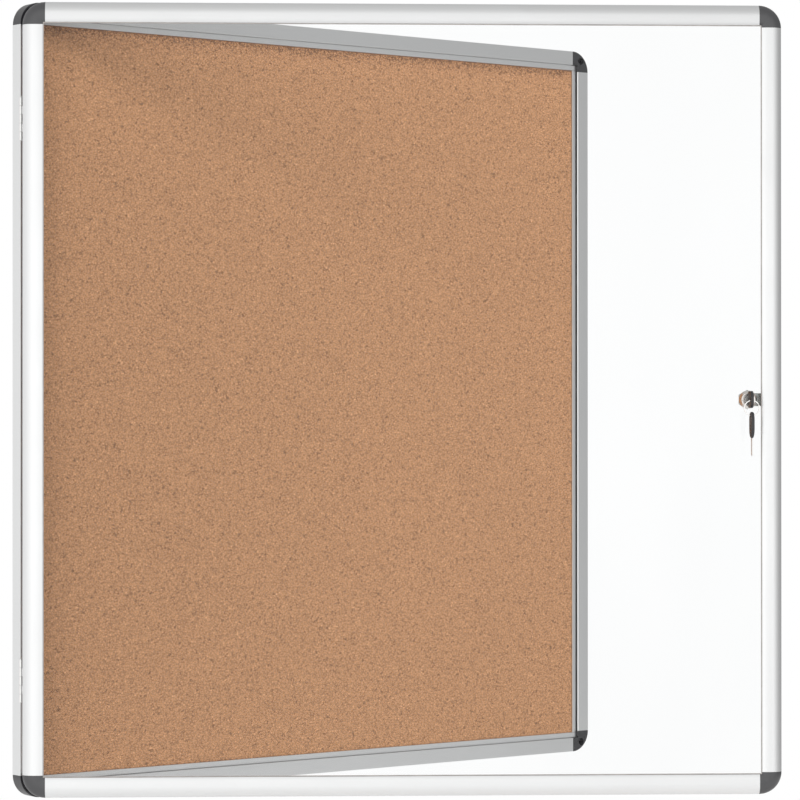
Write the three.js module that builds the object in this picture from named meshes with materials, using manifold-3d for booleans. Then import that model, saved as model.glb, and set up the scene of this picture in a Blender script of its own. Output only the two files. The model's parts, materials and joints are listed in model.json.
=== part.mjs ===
// Lockable notice board with a glazed door, in millimetres.
// +X points right, +Z up, the wall is the plane Y = 0 and the front faces -Y.
// The door is stored open, as it swings on the left side of the case.
// Cross-sections use u, the distance inward from an outer edge, and v, the distance
// forward from the back of the case or of the door. Both are drawn as x = u, y = -v.

import * as THREE from 'three';
import { mergeVertices } from 'three/addons/utils/BufferGeometryUtils.js';
import Module from 'manifold-3d';

const wasm = await Module();
wasm.setup();

// Case
const caseWidth = 940;
const caseHeight = 980;
const caseDepth = 18;
const cornerSize = 28;
const bandWidth = 19;
const lipWidth = 7.2;
const railWall = 1.4;
const camChannel = 2;
const rearLip = 1.3;
const caseEdgeRadius = 3;
const wallScrewInset = 13;
const wallScrewRadius = 2.6;
const wallScrewSinkRadius = 4.8;
const wallScrewSinkDepth = 6;

// Panel in the case
const corkThickness = 3;
const glueLine = 0.1;

// Door
const doorInset = 2;
const doorDepth = 15;
const doorOpenDegrees = 36.5;
const doorLipWidth = 6.4;
const doorCrown = 14;
const doorSideFlat = 4;
const doorBackEdge = 1;
const paneThickness = 3;
const grooveBack = 9.5;
const paneLift = 0.3;
const sealTongue = 0.4;
const sealTongueWidth = 5.4;
const sealBeadWidth = 1.6;
const sealBeadHeight = 1.4;
const sealGap = 0.2;

// Corner tenons inside the rail chambers
const tenonLength = 25;
const tenonRoot = 2;
const doorTenonSide = 4;

// Clearances
const seam = 0.2;
const fit = 0.3;
const overrun = 1;

// Hinges
const hingeLength = 53;
const hingeInset = 145;
const knuckleCount = 5;
const knuckleRadius = 2;
const knuckleGap = 0.3;
const pinRadius = 1.1;
const pinClearance = 0.15;
const pinHeadRadius = 1.9;
const pinHeadHeight = 1.2;
const axisOutset = 0.3;
const halfParting = 1.5;
const leafThickness = 1;
const leafWidth = 17;
const leafScrewOffset = 10;
const leafScrewEnd = 7.5;
const leafScrewCount = 3;
const screwShankRadius = 1.2;
const screwHeadRadius = 2.4;
const screwHeadHeight = 0.9;
const screwLength = 4.2;

// Lock
const lockInset = 43;
const lockHeadRadius = 11.2;
const lockHeadRim = 1.8;
const lockFaceRadius = 8.6;
const lockHeadHeight = 7.6;
const lockBarrelRadius = 8;
const plugRadius = 5;
const plugClearance = 0.2;
const nutRadius = 12;
const nutThickness = 3.5;
const camReach = 6;
const camHalfWidth = 8;
const camThickness = 1.4;
const camSquare = 6;
const camScrewHeadRadius = 4.4;
const camScrewHeadHeight = 0.8;
const camScrewShankRadius = 1.5;
const camScrewDepth = 3.6;
const keywayEndGap = 0.5;

// Keys and ring
const bladeLength = 22;
const bladeHalfHeight = 3.8;
const bladeThickness = 1.8;
const bladeTip = 3;
const notchPitch = 3.6;
const notchCount = 4;
const notchDepth = 1.5;
const tangLength = 12;
const bowLength = 32.5;
const bowHalfHeight = 10.5;
const bowThickness = 6;
const bowNeckHalfHeight = 5;
const bowShoulder = 9;
const bowTaper = 4.5;
const bowNeckThickness = 3.2;
const bowEndBevel = 1.2;
const bowHoleRadius = 2.6;
const bowHoleFromEnd = 5.6;
const ringRadius = 9.2;
const ringWireRadius = 0.8;

// Facets
const edgeFacets = 2;
const crownFacets = 5;
const cornerFacets = 48;
const roundFacets = 24;
const smallFacets = 12;
const knuckleFacets = 16;
const ringFacets = 32;
const wireFacets = 8;
const hexSides = 6;

// Sizes worked out from the ones above
const quarterTurn = Math.PI / 2;
const lipEdge = bandWidth + lipWidth;
const doorWidth = caseWidth - 2 * doorInset;
const doorHeight = caseHeight - 2 * doorInset;
const doorLipEdge = bandWidth + doorLipWidth;
const webFront = caseDepth - railWall - camChannel;
const webRear = webFront - railWall;
const grooveFront = doorDepth - railWall;
const doorRise = doorDepth - doorSideFlat;
const chamberCrown = doorCrown - railWall;
const chamberRise = doorRise - railWall;
const tenonSlope = (doorCrown - doorTenonSide) / chamberCrown;
const doorTenonTop = doorSideFlat + chamberRise * Math.sqrt(1 - tenonSlope ** 2) - fit;
const paneBack = grooveBack + paneLift;
const paneFront = paneBack + paneThickness;
const sealBack = paneFront + sealGap;
const sealEdge = doorLipEdge + sealGap;
const hingeAxisX = -caseWidth / 2 - axisOutset;
const hingeAxisY = -(caseDepth + halfParting);
const doorEdgeFromAxis = axisOutset + doorInset;
const hingeHeight = caseHeight / 2 - hingeInset;
const knuckleLength = (hingeLength - (knuckleCount - 1) * knuckleGap) / knuckleCount;
const leafScrewSpacing = (hingeLength - 2 * leafScrewEnd) / (leafScrewCount - 1);
const leafBack = halfParting - seam;
const leafFront = leafBack - leafThickness;
const lockBase = paneFront + seam;
const lockFace = lockBase + lockHeadHeight;
const channelMiddle = (caseDepth - railWall + webFront) / 2;
const camMiddle = channelMiddle - (caseDepth + 2 * halfParting);
const camFront = camMiddle + camThickness / 2;
const camRear = camMiddle - camThickness / 2;
const lockBarrelEnd = camFront + fit;
const lockX = doorWidth / 2 - lockInset;
const camLength = lockInset + doorInset - bandWidth + camReach;
const keywayDepth = bladeLength + keywayEndGap;
const bowHoleOffset = bowLength - bowHoleFromEnd;
const ringSag = ringRadius - Math.sqrt(ringRadius ** 2 - (bowThickness / 2) ** 2);
const ringDrop = bowHoleRadius - ringWireRadius - ringSag - seam / 2;

// Finishes
const finish = (color, roughness, metalness) => (
  new THREE.MeshStandardMaterial({ color, roughness, metalness })
);
const aluminium = finish(0xdcdddd, 0.38, 0.9);
const darkPlastic = finish(0x4b4d50, 0.55, 0);
const cork = finish(0xb48e69, 0.95, 0);
const softboard = finish(0xa98f6d, 0.95, 0);
const hardboard = finish(0x8a6a4c, 0.8, 0);
const clearPane = finish(0xeef4f4, 0.05, 0);
const sealRubber = finish(0xb7b2ae, 0.7, 0);
const hingeMetal = finish(0xd8d2c4, 0.35, 0.9);
const chrome = finish(0xcfcac4, 0.15, 1);
const zincSteel = finish(0x8d938c, 0.4, 0.9);
const blackPlastic = finish(0x1d1d1f, 0.45, 0);
const wireSteel = finish(0xd4d4d2, 0.2, 1);

// Solids for cutting and joining

function toSolid(geometry) {
  const bare = geometry.clone();
  bare.deleteAttribute('normal');
  bare.deleteAttribute('uv');
  const merged = mergeVertices(bare);
  const index = merged.index.array;
  const corners = [];
  for (let i = 0; i < index.length; i += 3) {
    const [a, b, c] = [index[i], index[i + 1], index[i + 2]];
    if (a !== b && b !== c && c !== a) corners.push(a, b, c);
  }
  const vertProperties = new Float32Array(merged.attributes.position.array);
  const triVerts = new Uint32Array(corners);
  return new wasm.Manifold(new wasm.Mesh({ numProp: 3, vertProperties, triVerts }));
}

function toGeometry(solid) {
  const mesh = solid.getMesh();
  const geometry = new THREE.BufferGeometry();
  geometry.setAttribute('position', new THREE.BufferAttribute(mesh.vertProperties, 3));
  geometry.setIndex(new THREE.BufferAttribute(mesh.triVerts, 1));
  geometry.computeVertexNormals();
  return geometry;
}

function block(low, high) {
  const size = high.map((value, i) => value - low[i]);
  const geometry = new THREE.BoxGeometry(...size);
  geometry.translate(...low.map((value, i) => value + size[i] / 2));
  return toSolid(geometry);
}

// A round bar from one depth to another along the Y axis, centred on (x, z).
function barAlongY(radius, yLow, yHigh, x = 0, z = 0, facets = roundFacets) {
  const geometry = new THREE.CylinderGeometry(radius, radius, yHigh - yLow, facets);
  geometry.translate(x, (yLow + yHigh) / 2, z);
  return toSolid(geometry);
}

function barAlongZ(radius, zLow, zHigh, facets = knuckleFacets) {
  const geometry = new THREE.CylinderGeometry(radius, radius, zHigh - zLow, facets);
  geometry.rotateX(quarterTurn);
  geometry.translate(0, 0, (zLow + zHigh) / 2);
  return toSolid(geometry);
}

function barAlongX(radius, length, y, facets = roundFacets) {
  const geometry = new THREE.CylinderGeometry(radius, radius, length, facets);
  geometry.rotateZ(quarterTurn);
  geometry.translate(0, y, 0);
  return toSolid(geometry);
}

// A turned solid about the Y axis from points given as [radius, y].
function turned(points, facets = roundFacets) {
  const profile = points.map(([radius, y]) => new THREE.Vector2(radius, y));
  return toSolid(new THREE.LatheGeometry(profile, facets));
}

// A section drawn in x and y, drawn out along Z and centred on Z = 0.
function drawnOut(shape, length, facets) {
  const geometry = new THREE.ExtrudeGeometry(shape, {
    depth: length,
    bevelEnabled: false,
    curveSegments: facets,
  });
  geometry.translate(0, 0, -length / 2);
  return toSolid(geometry);
}

// A flat outline drawn in y and z with a thickness along X, centred on X = 0.
function plateAcrossX(shape, thickness) {
  const geometry = new THREE.ExtrudeGeometry(shape, {
    depth: thickness,
    bevelEnabled: false,
    curveSegments: smallFacets,
  });
  geometry.translate(0, 0, -thickness / 2);
  const toYZ = new THREE.Matrix4().makeBasis(
    new THREE.Vector3(0, 1, 0),
    new THREE.Vector3(0, 0, 1),
    new THREE.Vector3(1, 0, 0),
  );
  geometry.applyMatrix4(toYZ);
  return toSolid(geometry);
}

function polygon(points) {
  return new THREE.Shape(points.map(([x, y]) => new THREE.Vector2(x, y)));
}

function piece(name, solid, material, parent) {
  const mesh = new THREE.Mesh(toGeometry(solid), material);
  mesh.name = name;
  parent.add(mesh);
  return mesh;
}

// Case rail: a closed chamber, an open channel behind the front band and a panel groove
function caseSection() {
  const shape = new THREE.Shape();
  const edgeY = -(caseDepth - caseEdgeRadius);
  shape.moveTo(0, 0);
  shape.lineTo(0, edgeY);
  shape.absarc(caseEdgeRadius, edgeY, caseEdgeRadius, Math.PI, Math.PI + quarterTurn, false);
  shape.lineTo(bandWidth, -caseDepth);
  shape.lineTo(bandWidth, -caseDepth + railWall);
  shape.lineTo(railWall, -caseDepth + railWall);
  shape.lineTo(railWall, -webFront);
  shape.lineTo(lipEdge, -webFront);
  shape.lineTo(lipEdge, -webRear);
  shape.lineTo(bandWidth, -webRear);
  shape.lineTo(bandWidth, -rearLip);
  shape.lineTo(lipEdge, -rearLip);
  shape.lineTo(lipEdge, 0);
  shape.holes.push(polygon([
    [railWall, -rearLip],
    [bandWidth - railWall, -rearLip],
    [bandWidth - railWall, -webRear],
    [railWall, -webRear],
  ]));
  return shape;
}

// Door rail: a closed chamber under a curved front, and a groove for pane and seal
function doorSection() {
  const shape = new THREE.Shape();
  const threeQuarters = Math.PI + quarterTurn;
  shape.moveTo(doorBackEdge, 0);
  shape.lineTo(0, -doorBackEdge);
  shape.lineTo(0, -doorSideFlat);
  shape.absellipse(doorCrown, -doorSideFlat, doorCrown, doorRise, Math.PI, threeQuarters, false);
  shape.lineTo(doorLipEdge, -doorDepth);
  shape.lineTo(doorLipEdge, -grooveFront);
  shape.lineTo(bandWidth, -grooveFront);
  shape.lineTo(bandWidth, -grooveBack);
  shape.lineTo(doorLipEdge, -grooveBack);
  shape.lineTo(doorLipEdge, -grooveBack + railWall);
  shape.lineTo(bandWidth, -grooveBack + railWall);
  shape.lineTo(bandWidth, 0);
  const chamber = new THREE.Path();
  chamber.moveTo(railWall, -railWall);
  chamber.lineTo(railWall, -doorSideFlat);
  chamber.absellipse(
    doorCrown, -doorSideFlat, chamberCrown, chamberRise, Math.PI, threeQuarters, false,
  );
  chamber.lineTo(bandWidth - railWall, -grooveFront);
  chamber.lineTo(bandWidth - railWall, -railWall);
  shape.holes.push(chamber);
  return shape;
}

// The four sides of a frame are one left rail turned about the Y axis.
const sides = ['left', 'top', 'right', 'bottom'];
const cornerNames = ['top_left', 'top_right', 'bottom_right', 'bottom_left'];

function placeTurned(mesh, turn, x, z) {
  const place = new THREE.Vector3(x, 0, z);
  place.applyAxisAngle(new THREE.Vector3(0, 1, 0), turn * quarterTurn);
  mesh.position.copy(place);
  mesh.rotation.y = turn * quarterTurn;
}

function spanOf(turn, width, height) {
  return turn % 2 === 0 ? { reach: width / 2, along: height } : { reach: height / 2, along: width };
}

function leafScrewHeights() {
  const heights = [];
  for (let i = 0; i < leafScrewCount; i += 1) {
    heights.push((i - (leafScrewCount - 1) / 2) * leafScrewSpacing);
  }
  return heights;
}

// The flat inner lips of a case rail run on past its ends and close the frame's corners.
function lipEnds(solid, length, reachOut) {
  let joined = solid;
  for (const end of [-1, 1]) {
    const inner = end * (length / 2 - overrun);
    const outer = end * (length / 2 + reachOut);
    const low = [bandWidth + seam, -webFront, Math.min(inner, outer)];
    const high = [lipEdge, -webRear, Math.max(inner, outer)];
    joined = joined.add(block(low, high));
  }
  return joined;
}

function makeCaseRails(parent) {
  const section = caseSection();
  sides.forEach((side, turn) => {
    const { reach, along } = spanOf(turn, caseWidth, caseHeight);
    const length = along - 2 * (cornerSize + seam);
    const reachOut = turn % 2 === 0 ? cornerSize - lipEdge : cornerSize - bandWidth;
    let solid = lipEnds(drawnOut(section, length, edgeFacets), length, reachOut);
    if (side === 'left') {
      for (const hinge of [-hingeHeight, hingeHeight]) {
        for (const height of leafScrewHeights()) {
          const u = leafScrewOffset - axisOutset;
          const low = -caseDepth - overrun;
          const high = -webFront - camChannel / 2;
          const hole = barAlongY(screwShankRadius + seam, low, high, u, hinge + height, smallFacets);
          solid = solid.subtract(hole);
        }
      }
    }
    const rail = piece(`case_rail_${side}`, solid, aluminium, parent);
    placeTurned(rail, turn, -reach, 0);
  });
}

// Points [radius, y] of a quarter ellipse from its front to its side. A drawn path splits
// an arc into twice its facets, so this does too.
function quarterArc([centreRadius, centreV], reach, rise, facets) {
  const steps = 2 * facets;
  const points = [];
  for (let i = 0; i <= steps; i += 1) {
    const angle = (quarterTurn * i) / steps;
    points.push([
      centreRadius + reach * Math.sin(angle),
      -(centreV + rise * Math.cos(angle)),
    ]);
  }
  return points;
}

// Corner pieces are drawn at the top left: outer corner at the origin, u to +X and -Z.
function roundCorner(profile) {
  const round = turned(profile, cornerFacets).translate([cornerSize, 0, -cornerSize]);
  return round.intersect(block(
    [-overrun, -caseDepth - overrun, -cornerSize],
    [cornerSize, caseDepth, overrun],
  ));
}

function innerSquare(from, vLow, vHigh) {
  const far = cornerSize + overrun;
  return block([from, -vHigh, -far], [far, -vLow, -from]);
}

function tenons(uLow, uHigh, vLow, vHigh) {
  const start = cornerSize - tenonRoot;
  const end = cornerSize + tenonLength;
  const down = block([uLow, -vHigh, -end], [uHigh, -vLow, -start]);
  const across = block([start, -vHigh, -uHigh], [end, -vLow, -uLow]);
  return down.add(across);
}

function makeCaseCorners(parent) {
  const arcCentre = [cornerSize - caseEdgeRadius, caseDepth - caseEdgeRadius];
  const profile = [
    [0, -caseDepth],
    ...quarterArc(arcCentre, caseEdgeRadius, caseEdgeRadius, edgeFacets),
    [cornerSize, 0],
    [0, 0],
  ];
  const screwPlace = [wallScrewInset, -wallScrewInset];
  const corner = roundCorner(profile)
    .subtract(innerSquare(bandWidth, rearLip, caseDepth + overrun))
    .subtract(innerSquare(lipEdge, -overrun, caseDepth))
    .add(tenons(
      railWall + seam, bandWidth - railWall - seam, rearLip + seam, webRear - seam,
    ))
    .subtract(barAlongY(wallScrewRadius, -caseDepth - overrun, overrun, ...screwPlace))
    .subtract(barAlongY(
      wallScrewSinkRadius, -caseDepth - overrun, -caseDepth + wallScrewSinkDepth, ...screwPlace,
    ));
  cornerNames.forEach((name, turn) => {
    const { reach, along } = spanOf(turn, caseWidth, caseHeight);
    const mesh = piece(`case_corner_${name}`, corner, darkPlastic, parent);
    placeTurned(mesh, turn, -reach, along / 2);
  });
}

function makePanel(parent) {
  const halfX = caseWidth / 2 - bandWidth - fit;
  const halfZ = caseHeight / 2 - bandWidth - fit;
  const corkFront = webRear - glueLine;
  const corkBack = corkFront - corkThickness;
  const coreFront = corkBack - glueLine;
  const coreBack = rearLip + glueLine;
  const sheetX = caseWidth / 2 - lipEdge - fit;
  const sheetZ = caseHeight / 2 - lipEdge - fit;
  const corkSolid = block([-halfX, -corkFront, -halfZ], [halfX, -corkBack, halfZ]);
  const coreSolid = block([-halfX, -coreFront, -halfZ], [halfX, -coreBack, halfZ]);
  const sheetSolid = block([-sheetX, -rearLip, -sheetZ], [sheetX, 0, sheetZ]);
  piece('cork_sheet', corkSolid, cork, parent);
  piece('softboard_core', coreSolid, softboard, parent);
  piece('back_sheet', sheetSolid, hardboard, parent);
}

// Hinge pieces are drawn with the hinge axis as the Z axis.
function leafSolid(ownsKnuckle, towards) {
  const yLow = towards > 0 ? leafFront : -leafBack;
  const yHigh = towards > 0 ? leafBack : -leafFront;
  const freeEdge = knuckleRadius + knuckleGap;
  const halfLength = hingeLength / 2;
  let leaf = block([freeEdge, yLow, -halfLength], [leafWidth, yHigh, halfLength]);
  for (let i = 0; i < knuckleCount; i += 1) {
    if (ownsKnuckle(i)) {
      const zLow = -halfLength + i * (knuckleLength + knuckleGap);
      const zHigh = zLow + knuckleLength;
      leaf = leaf.add(barAlongZ(knuckleRadius, zLow, zHigh));
      leaf = leaf.add(block([0, yLow, zLow], [freeEdge + overrun, yHigh, zHigh]));
    }
  }
  leaf = leaf.subtract(barAlongZ(pinRadius + pinClearance, -hingeLength, hingeLength));
  for (const height of leafScrewHeights()) {
    const sink = screwSolid(seam, overrun);
    const turnedSink = towards > 0 ? sink : sink.rotate([180, 0, 0]);
    leaf = leaf.subtract(turnedSink.translate([leafScrewOffset, towards * leafFront, height]));
  }
  return leaf;
}

// A countersunk screw with its head's top at y = 0 and its shank along +Y.
function screwSolid(extra = 0, above = 0) {
  const head = screwHeadRadius + extra;
  const shank = screwShankRadius + extra;
  return turned([
    [0, -above],
    [head, -above],
    [head, extra],
    [shank, screwHeadHeight],
    [shank, screwLength],
    [0, screwLength],
  ], smallFacets);
}

function makeHingeScrews(label, hinge, towards, parent) {
  leafScrewHeights().forEach((height, i) => {
    const screw = towards > 0 ? screwSolid() : screwSolid().rotate([180, 0, 0]);
    const mesh = piece(`hinge_screw_${label}_${i + 1}`, screw, zincSteel, parent);
    mesh.position.set(leafScrewOffset, towards * leafFront, hinge + height);
  });
}

function makeHinges(axisGroup, doorGroup) {
  const caseOwns = (i) => i % 2 === 0;
  const doorOwns = (i) => i % 2 === 1;
  const halfLength = hingeLength / 2;
  const pin = barAlongZ(pinRadius, -halfLength, halfLength)
    .add(barAlongZ(pinHeadRadius, halfLength + seam, halfLength + seam + pinHeadHeight))
    .add(barAlongZ(pinRadius, 0, halfLength + pinHeadHeight));
  const places = [['upper', hingeHeight], ['lower', -hingeHeight]];
  for (const [name, height] of places) {
    const caseLeaf = piece(`hinge_leaf_case_${name}`, leafSolid(caseOwns, 1), hingeMetal, axisGroup);
    const doorLeaf = piece(`hinge_leaf_door_${name}`, leafSolid(doorOwns, -1), hingeMetal, doorGroup);
    const hingePin = piece(`hinge_pin_${name}`, pin, hingeMetal, axisGroup);
    for (const mesh of [caseLeaf, doorLeaf, hingePin]) mesh.position.z = height;
    makeHingeScrews(`case_${name}`, height, 1, axisGroup);
    makeHingeScrews(`door_${name}`, height, -1, doorGroup);
  }
}

// Door pieces are drawn about the middle of the door's back face.
function makeDoorRails(parent) {
  const section = doorSection();
  sides.forEach((side, turn) => {
    const { reach, along } = spanOf(turn, doorWidth, doorHeight);
    const length = along - 2 * (cornerSize + seam);
    let solid = drawnOut(section, length, crownFacets);
    if (side === 'left') {
      for (const hinge of [-hingeHeight, hingeHeight]) {
        for (const height of leafScrewHeights()) {
          const u = leafScrewOffset - doorEdgeFromAxis;
          const low = -railWall - overrun;
          const hole = barAlongY(
            screwShankRadius + seam, low, overrun, u, hinge + height, smallFacets,
          );
          solid = solid.subtract(hole);
        }
      }
    }
    const rail = piece(`door_rail_${side}`, solid, aluminium, parent);
    placeTurned(rail, turn, -reach, 0);
  });
}

function makeDoorCorners(parent) {
  const arcCentre = [cornerSize - doorCrown, doorSideFlat];
  const profile = [
    [0, -doorDepth],
    ...quarterArc(arcCentre, doorCrown, doorRise, crownFacets),
    [cornerSize, -doorBackEdge],
    [cornerSize - doorBackEdge, 0],
    [0, 0],
  ];
  const corner = roundCorner(profile)
    .subtract(innerSquare(doorLipEdge, -overrun, caseDepth))
    .subtract(innerSquare(bandWidth, grooveBack, grooveFront))
    .subtract(innerSquare(bandWidth, -overrun, grooveBack - railWall))
    .add(tenons(
      doorTenonSide, bandWidth - railWall - seam,
      railWall + seam, doorTenonTop,
    ));
  cornerNames.forEach((name, turn) => {
    const { reach, along } = spanOf(turn, doorWidth, doorHeight);
    const mesh = piece(`door_corner_${name}`, corner, darkPlastic, parent);
    placeTurned(mesh, turn, -reach, along / 2);
  });
}

function makeGlazing(parent) {
  const halfX = doorWidth / 2 - bandWidth - fit;
  const halfZ = doorHeight / 2 - bandWidth - fit;
  const pane = block([-halfX, -paneFront, -halfZ], [halfX, -paneBack, halfZ])
    .subtract(barAlongY(lockBarrelRadius + fit, -doorDepth, 0, lockX, 0));
  piece('glazing_pane', pane, clearPane, parent);
  const seal = polygon([
    [sealEdge - sealTongueWidth, -sealBack],
    [sealEdge + sealBeadWidth, -sealBack],
    [sealEdge + sealBeadWidth, -sealBack - sealBeadHeight],
    [sealEdge, -sealBack - sealBeadHeight],
    [sealEdge, -sealBack - sealTongue],
    [sealEdge - sealTongueWidth, -sealBack - sealTongue],
  ]);
  sides.forEach((side, turn) => {
    const { reach, along } = spanOf(turn, doorWidth, doorHeight);
    const ends = turn % 2 === 0 ? sealEdge + sealBeadWidth + sealGap : sealEdge;
    const strip = drawnOut(seal, along - 2 * ends, 1);
    const mesh = piece(`glazing_seal_${side}`, strip, sealRubber, parent);
    placeTurned(mesh, turn, -reach, 0);
  });
}

// Lock pieces are drawn about the lock's axis, with y = 0 at the door's back face.
function makeLock(parent) {
  const boreRadius = plugRadius + plugClearance;
  const housing = turned([
    [0, -lockFace],
    [lockFaceRadius, -lockFace],
    [lockHeadRadius, -lockBase - lockHeadRim],
    [lockHeadRadius, -lockBase],
    [lockBarrelRadius, -lockBase],
    [lockBarrelRadius, -lockBarrelEnd],
    [0, -lockBarrelEnd],
  ]).subtract(barAlongY(boreRadius, -lockFace - overrun, -lockBarrelEnd + overrun));
  piece('lock_housing', housing, chrome, parent);

  const nutFront = paneBack - seam;
  const hexagon = new THREE.CylinderGeometry(nutRadius, nutRadius, nutThickness, hexSides);
  hexagon.translate(0, -nutFront + nutThickness / 2, 0);
  const nut = toSolid(hexagon)
    .subtract(barAlongY(lockBarrelRadius + seam, -nutFront - overrun, 0));
  piece('lock_nut', nut, zincSteel, parent);

  const plugFront = lockFace - seam;
  const squareEnd = camRear + seam;
  const keyway = block(
    [-bladeThickness / 2 - seam, -plugFront - overrun, -bladeHalfHeight - seam],
    [bladeThickness / 2 + seam, -plugFront + keywayDepth, bladeHalfHeight + seam],
  );
  const stub = block(
    [-camSquare / 2, -lockBarrelEnd - overrun, -camSquare / 2],
    [camSquare / 2, -squareEnd, camSquare / 2],
  );
  const screwHole = barAlongY(
    camScrewShankRadius + seam, -squareEnd - camScrewDepth, -camRear, 0, 0, smallFacets,
  );
  const plug = barAlongY(plugRadius, -plugFront, -lockBarrelEnd)
    .add(stub)
    .subtract(keyway)
    .subtract(screwHole);
  piece('lock_plug', plug, chrome, parent);

  const camOutline = new THREE.Shape();
  camOutline.moveTo(0, -camHalfWidth);
  camOutline.lineTo(camLength, -camHalfWidth);
  camOutline.lineTo(camLength, camHalfWidth);
  camOutline.lineTo(0, camHalfWidth);
  camOutline.absarc(0, 0, camHalfWidth, quarterTurn, Math.PI + quarterTurn, false);
  const camGeometry = new THREE.ExtrudeGeometry(camOutline, {
    depth: camThickness,
    bevelEnabled: false,
    curveSegments: smallFacets,
  });
  camGeometry.rotateX(quarterTurn);
  camGeometry.translate(0, -camRear, 0);
  const squareHole = camSquare / 2 + seam;
  const cam = toSolid(camGeometry).subtract(block(
    [-squareHole, -camFront - overrun, -squareHole],
    [squareHole, -camRear + overrun, squareHole],
  ));
  piece('lock_cam', cam, zincSteel, parent);

  const headTop = camRear - seam;
  const camScrew = barAlongY(camScrewHeadRadius, -headTop, -headTop + camScrewHeadHeight)
    .add(barAlongY(
      camScrewShankRadius, -headTop - camScrewDepth, -headTop + camScrewHeadHeight / 2,
      0, 0, smallFacets,
    ));
  piece('cam_screw', camScrew, zincSteel, parent);
}

// A key lies along Y with its blade towards +Y, its shoulder at y = 0 and its bow towards -Y.
function bladeSolid() {
  const tip = bladeLength;
  const shape = new THREE.Shape();
  shape.moveTo(-tangLength, -bladeHalfHeight);
  shape.lineTo(tip - bladeTip, -bladeHalfHeight);
  shape.lineTo(tip, -bladeHalfHeight + bladeTip);
  shape.lineTo(tip, 0);
  shape.lineTo(tip - bladeTip, bladeHalfHeight);
  for (let i = 0; i < notchCount; i += 1) {
    const start = tip - bladeTip - i * notchPitch;
    shape.lineTo(start - notchPitch / 2, bladeHalfHeight - notchDepth);
    shape.lineTo(start - notchPitch, bladeHalfHeight);
  }
  shape.lineTo(-tangLength, bladeHalfHeight);
  return plateAcrossX(shape, bladeThickness);
}

function bowSolid() {
  const start = -seam;
  const end = -bowLength;
  const roundStart = end + bowHalfHeight;
  const outline = new THREE.Shape();
  outline.moveTo(start, -bowNeckHalfHeight);
  outline.lineTo(start, bowNeckHalfHeight);
  outline.lineTo(-bowShoulder, bowHalfHeight);
  outline.lineTo(roundStart, bowHalfHeight);
  outline.absarc(roundStart, 0, bowHalfHeight, quarterTurn, Math.PI + quarterTurn, false);
  outline.lineTo(-bowShoulder, -bowHalfHeight);
  const full = bowThickness / 2;
  const neck = bowNeckThickness / 2;
  const sideView = drawnOut(polygon([
    [neck, start],
    [full, start - bowTaper],
    [full, end + bowEndBevel],
    [full - bowEndBevel, end],
    [-full + bowEndBevel, end],
    [-full, end + bowEndBevel],
    [-full, start - bowTaper],
    [-neck, start],
  ]), 2 * (bowHalfHeight + overrun), 1);
  const tangSlot = block(
    [-bladeThickness / 2 - seam, -tangLength - seam, -bladeHalfHeight - seam],
    [bladeThickness / 2 + seam, overrun, bladeHalfHeight + seam],
  );
  return plateAcrossX(outline, bowThickness + overrun)
    .intersect(sideView)
    .subtract(tangSlot)
    .subtract(barAlongX(bowHoleRadius, bowThickness + overrun, -bowHoleOffset));
}

function makeKeys(lockGroup) {
  const key = new THREE.Group();
  key.position.y = -lockFace - seam;
  lockGroup.add(key);
  piece('key_blade', bladeSolid(), zincSteel, key);
  piece('key_bow', bowSolid(), blackPlastic, key);

  const ring = new THREE.Group();
  ring.position.set(0, -bowHoleOffset, -ringDrop);
  key.add(ring);
  const wire = new THREE.TorusGeometry(ringRadius, ringWireRadius, wireFacets, ringFacets);
  wire.rotateX(quarterTurn);
  wire.translate(0, 0, -ringRadius);
  piece('key_ring', toSolid(wire), wireSteel, ring);

  // The spare key hangs blade down, its bow hole on the lowest point of the ring.
  const spare = new THREE.Group();
  spare.position.set(0, 0, -2 * ringRadius - ringDrop - bowHoleOffset);
  spare.rotation.x = -quarterTurn;
  ring.add(spare);
  piece('spare_key_blade', bladeSolid(), zincSteel, spare);
  piece('spare_key_bow', bowSolid(), blackPlastic, spare);
}

const board = new THREE.Group();
makeCaseRails(board);
makeCaseCorners(board);
makePanel(board);

const axisGroup = new THREE.Group();
axisGroup.position.set(hingeAxisX, hingeAxisY, 0);
board.add(axisGroup);

const doorSwing = new THREE.Group();
doorSwing.rotation.z = -THREE.MathUtils.degToRad(doorOpenDegrees);
axisGroup.add(doorSwing);

const door = new THREE.Group();
door.position.set(doorEdgeFromAxis + doorWidth / 2, -halfParting, 0);
doorSwing.add(door);

makeHinges(axisGroup, doorSwing);
makeDoorRails(door);
makeDoorCorners(door);
makeGlazing(door);

const lock = new THREE.Group();
lock.position.x = lockX;
door.add(lock);
makeLock(lock);
makeKeys(lock);

export default board;
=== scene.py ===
# %% [markdown]
# # A lockable notice board
# The board is a shallow aluminium case with a cork panel, and a glazed door that swings on two
# butt hinges and closes with a cam lock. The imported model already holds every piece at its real
# size and place, so this lesson only gives the pieces their fine surfaces and their finishes.
# Lengths are written in millimetres, as on a drawing, and MM turns them into metres.

import json
import math

import bmesh
import bpy
import numpy as np
from mathutils import Matrix, Vector
from mathutils.geometry import tessellate_polygon


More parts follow.
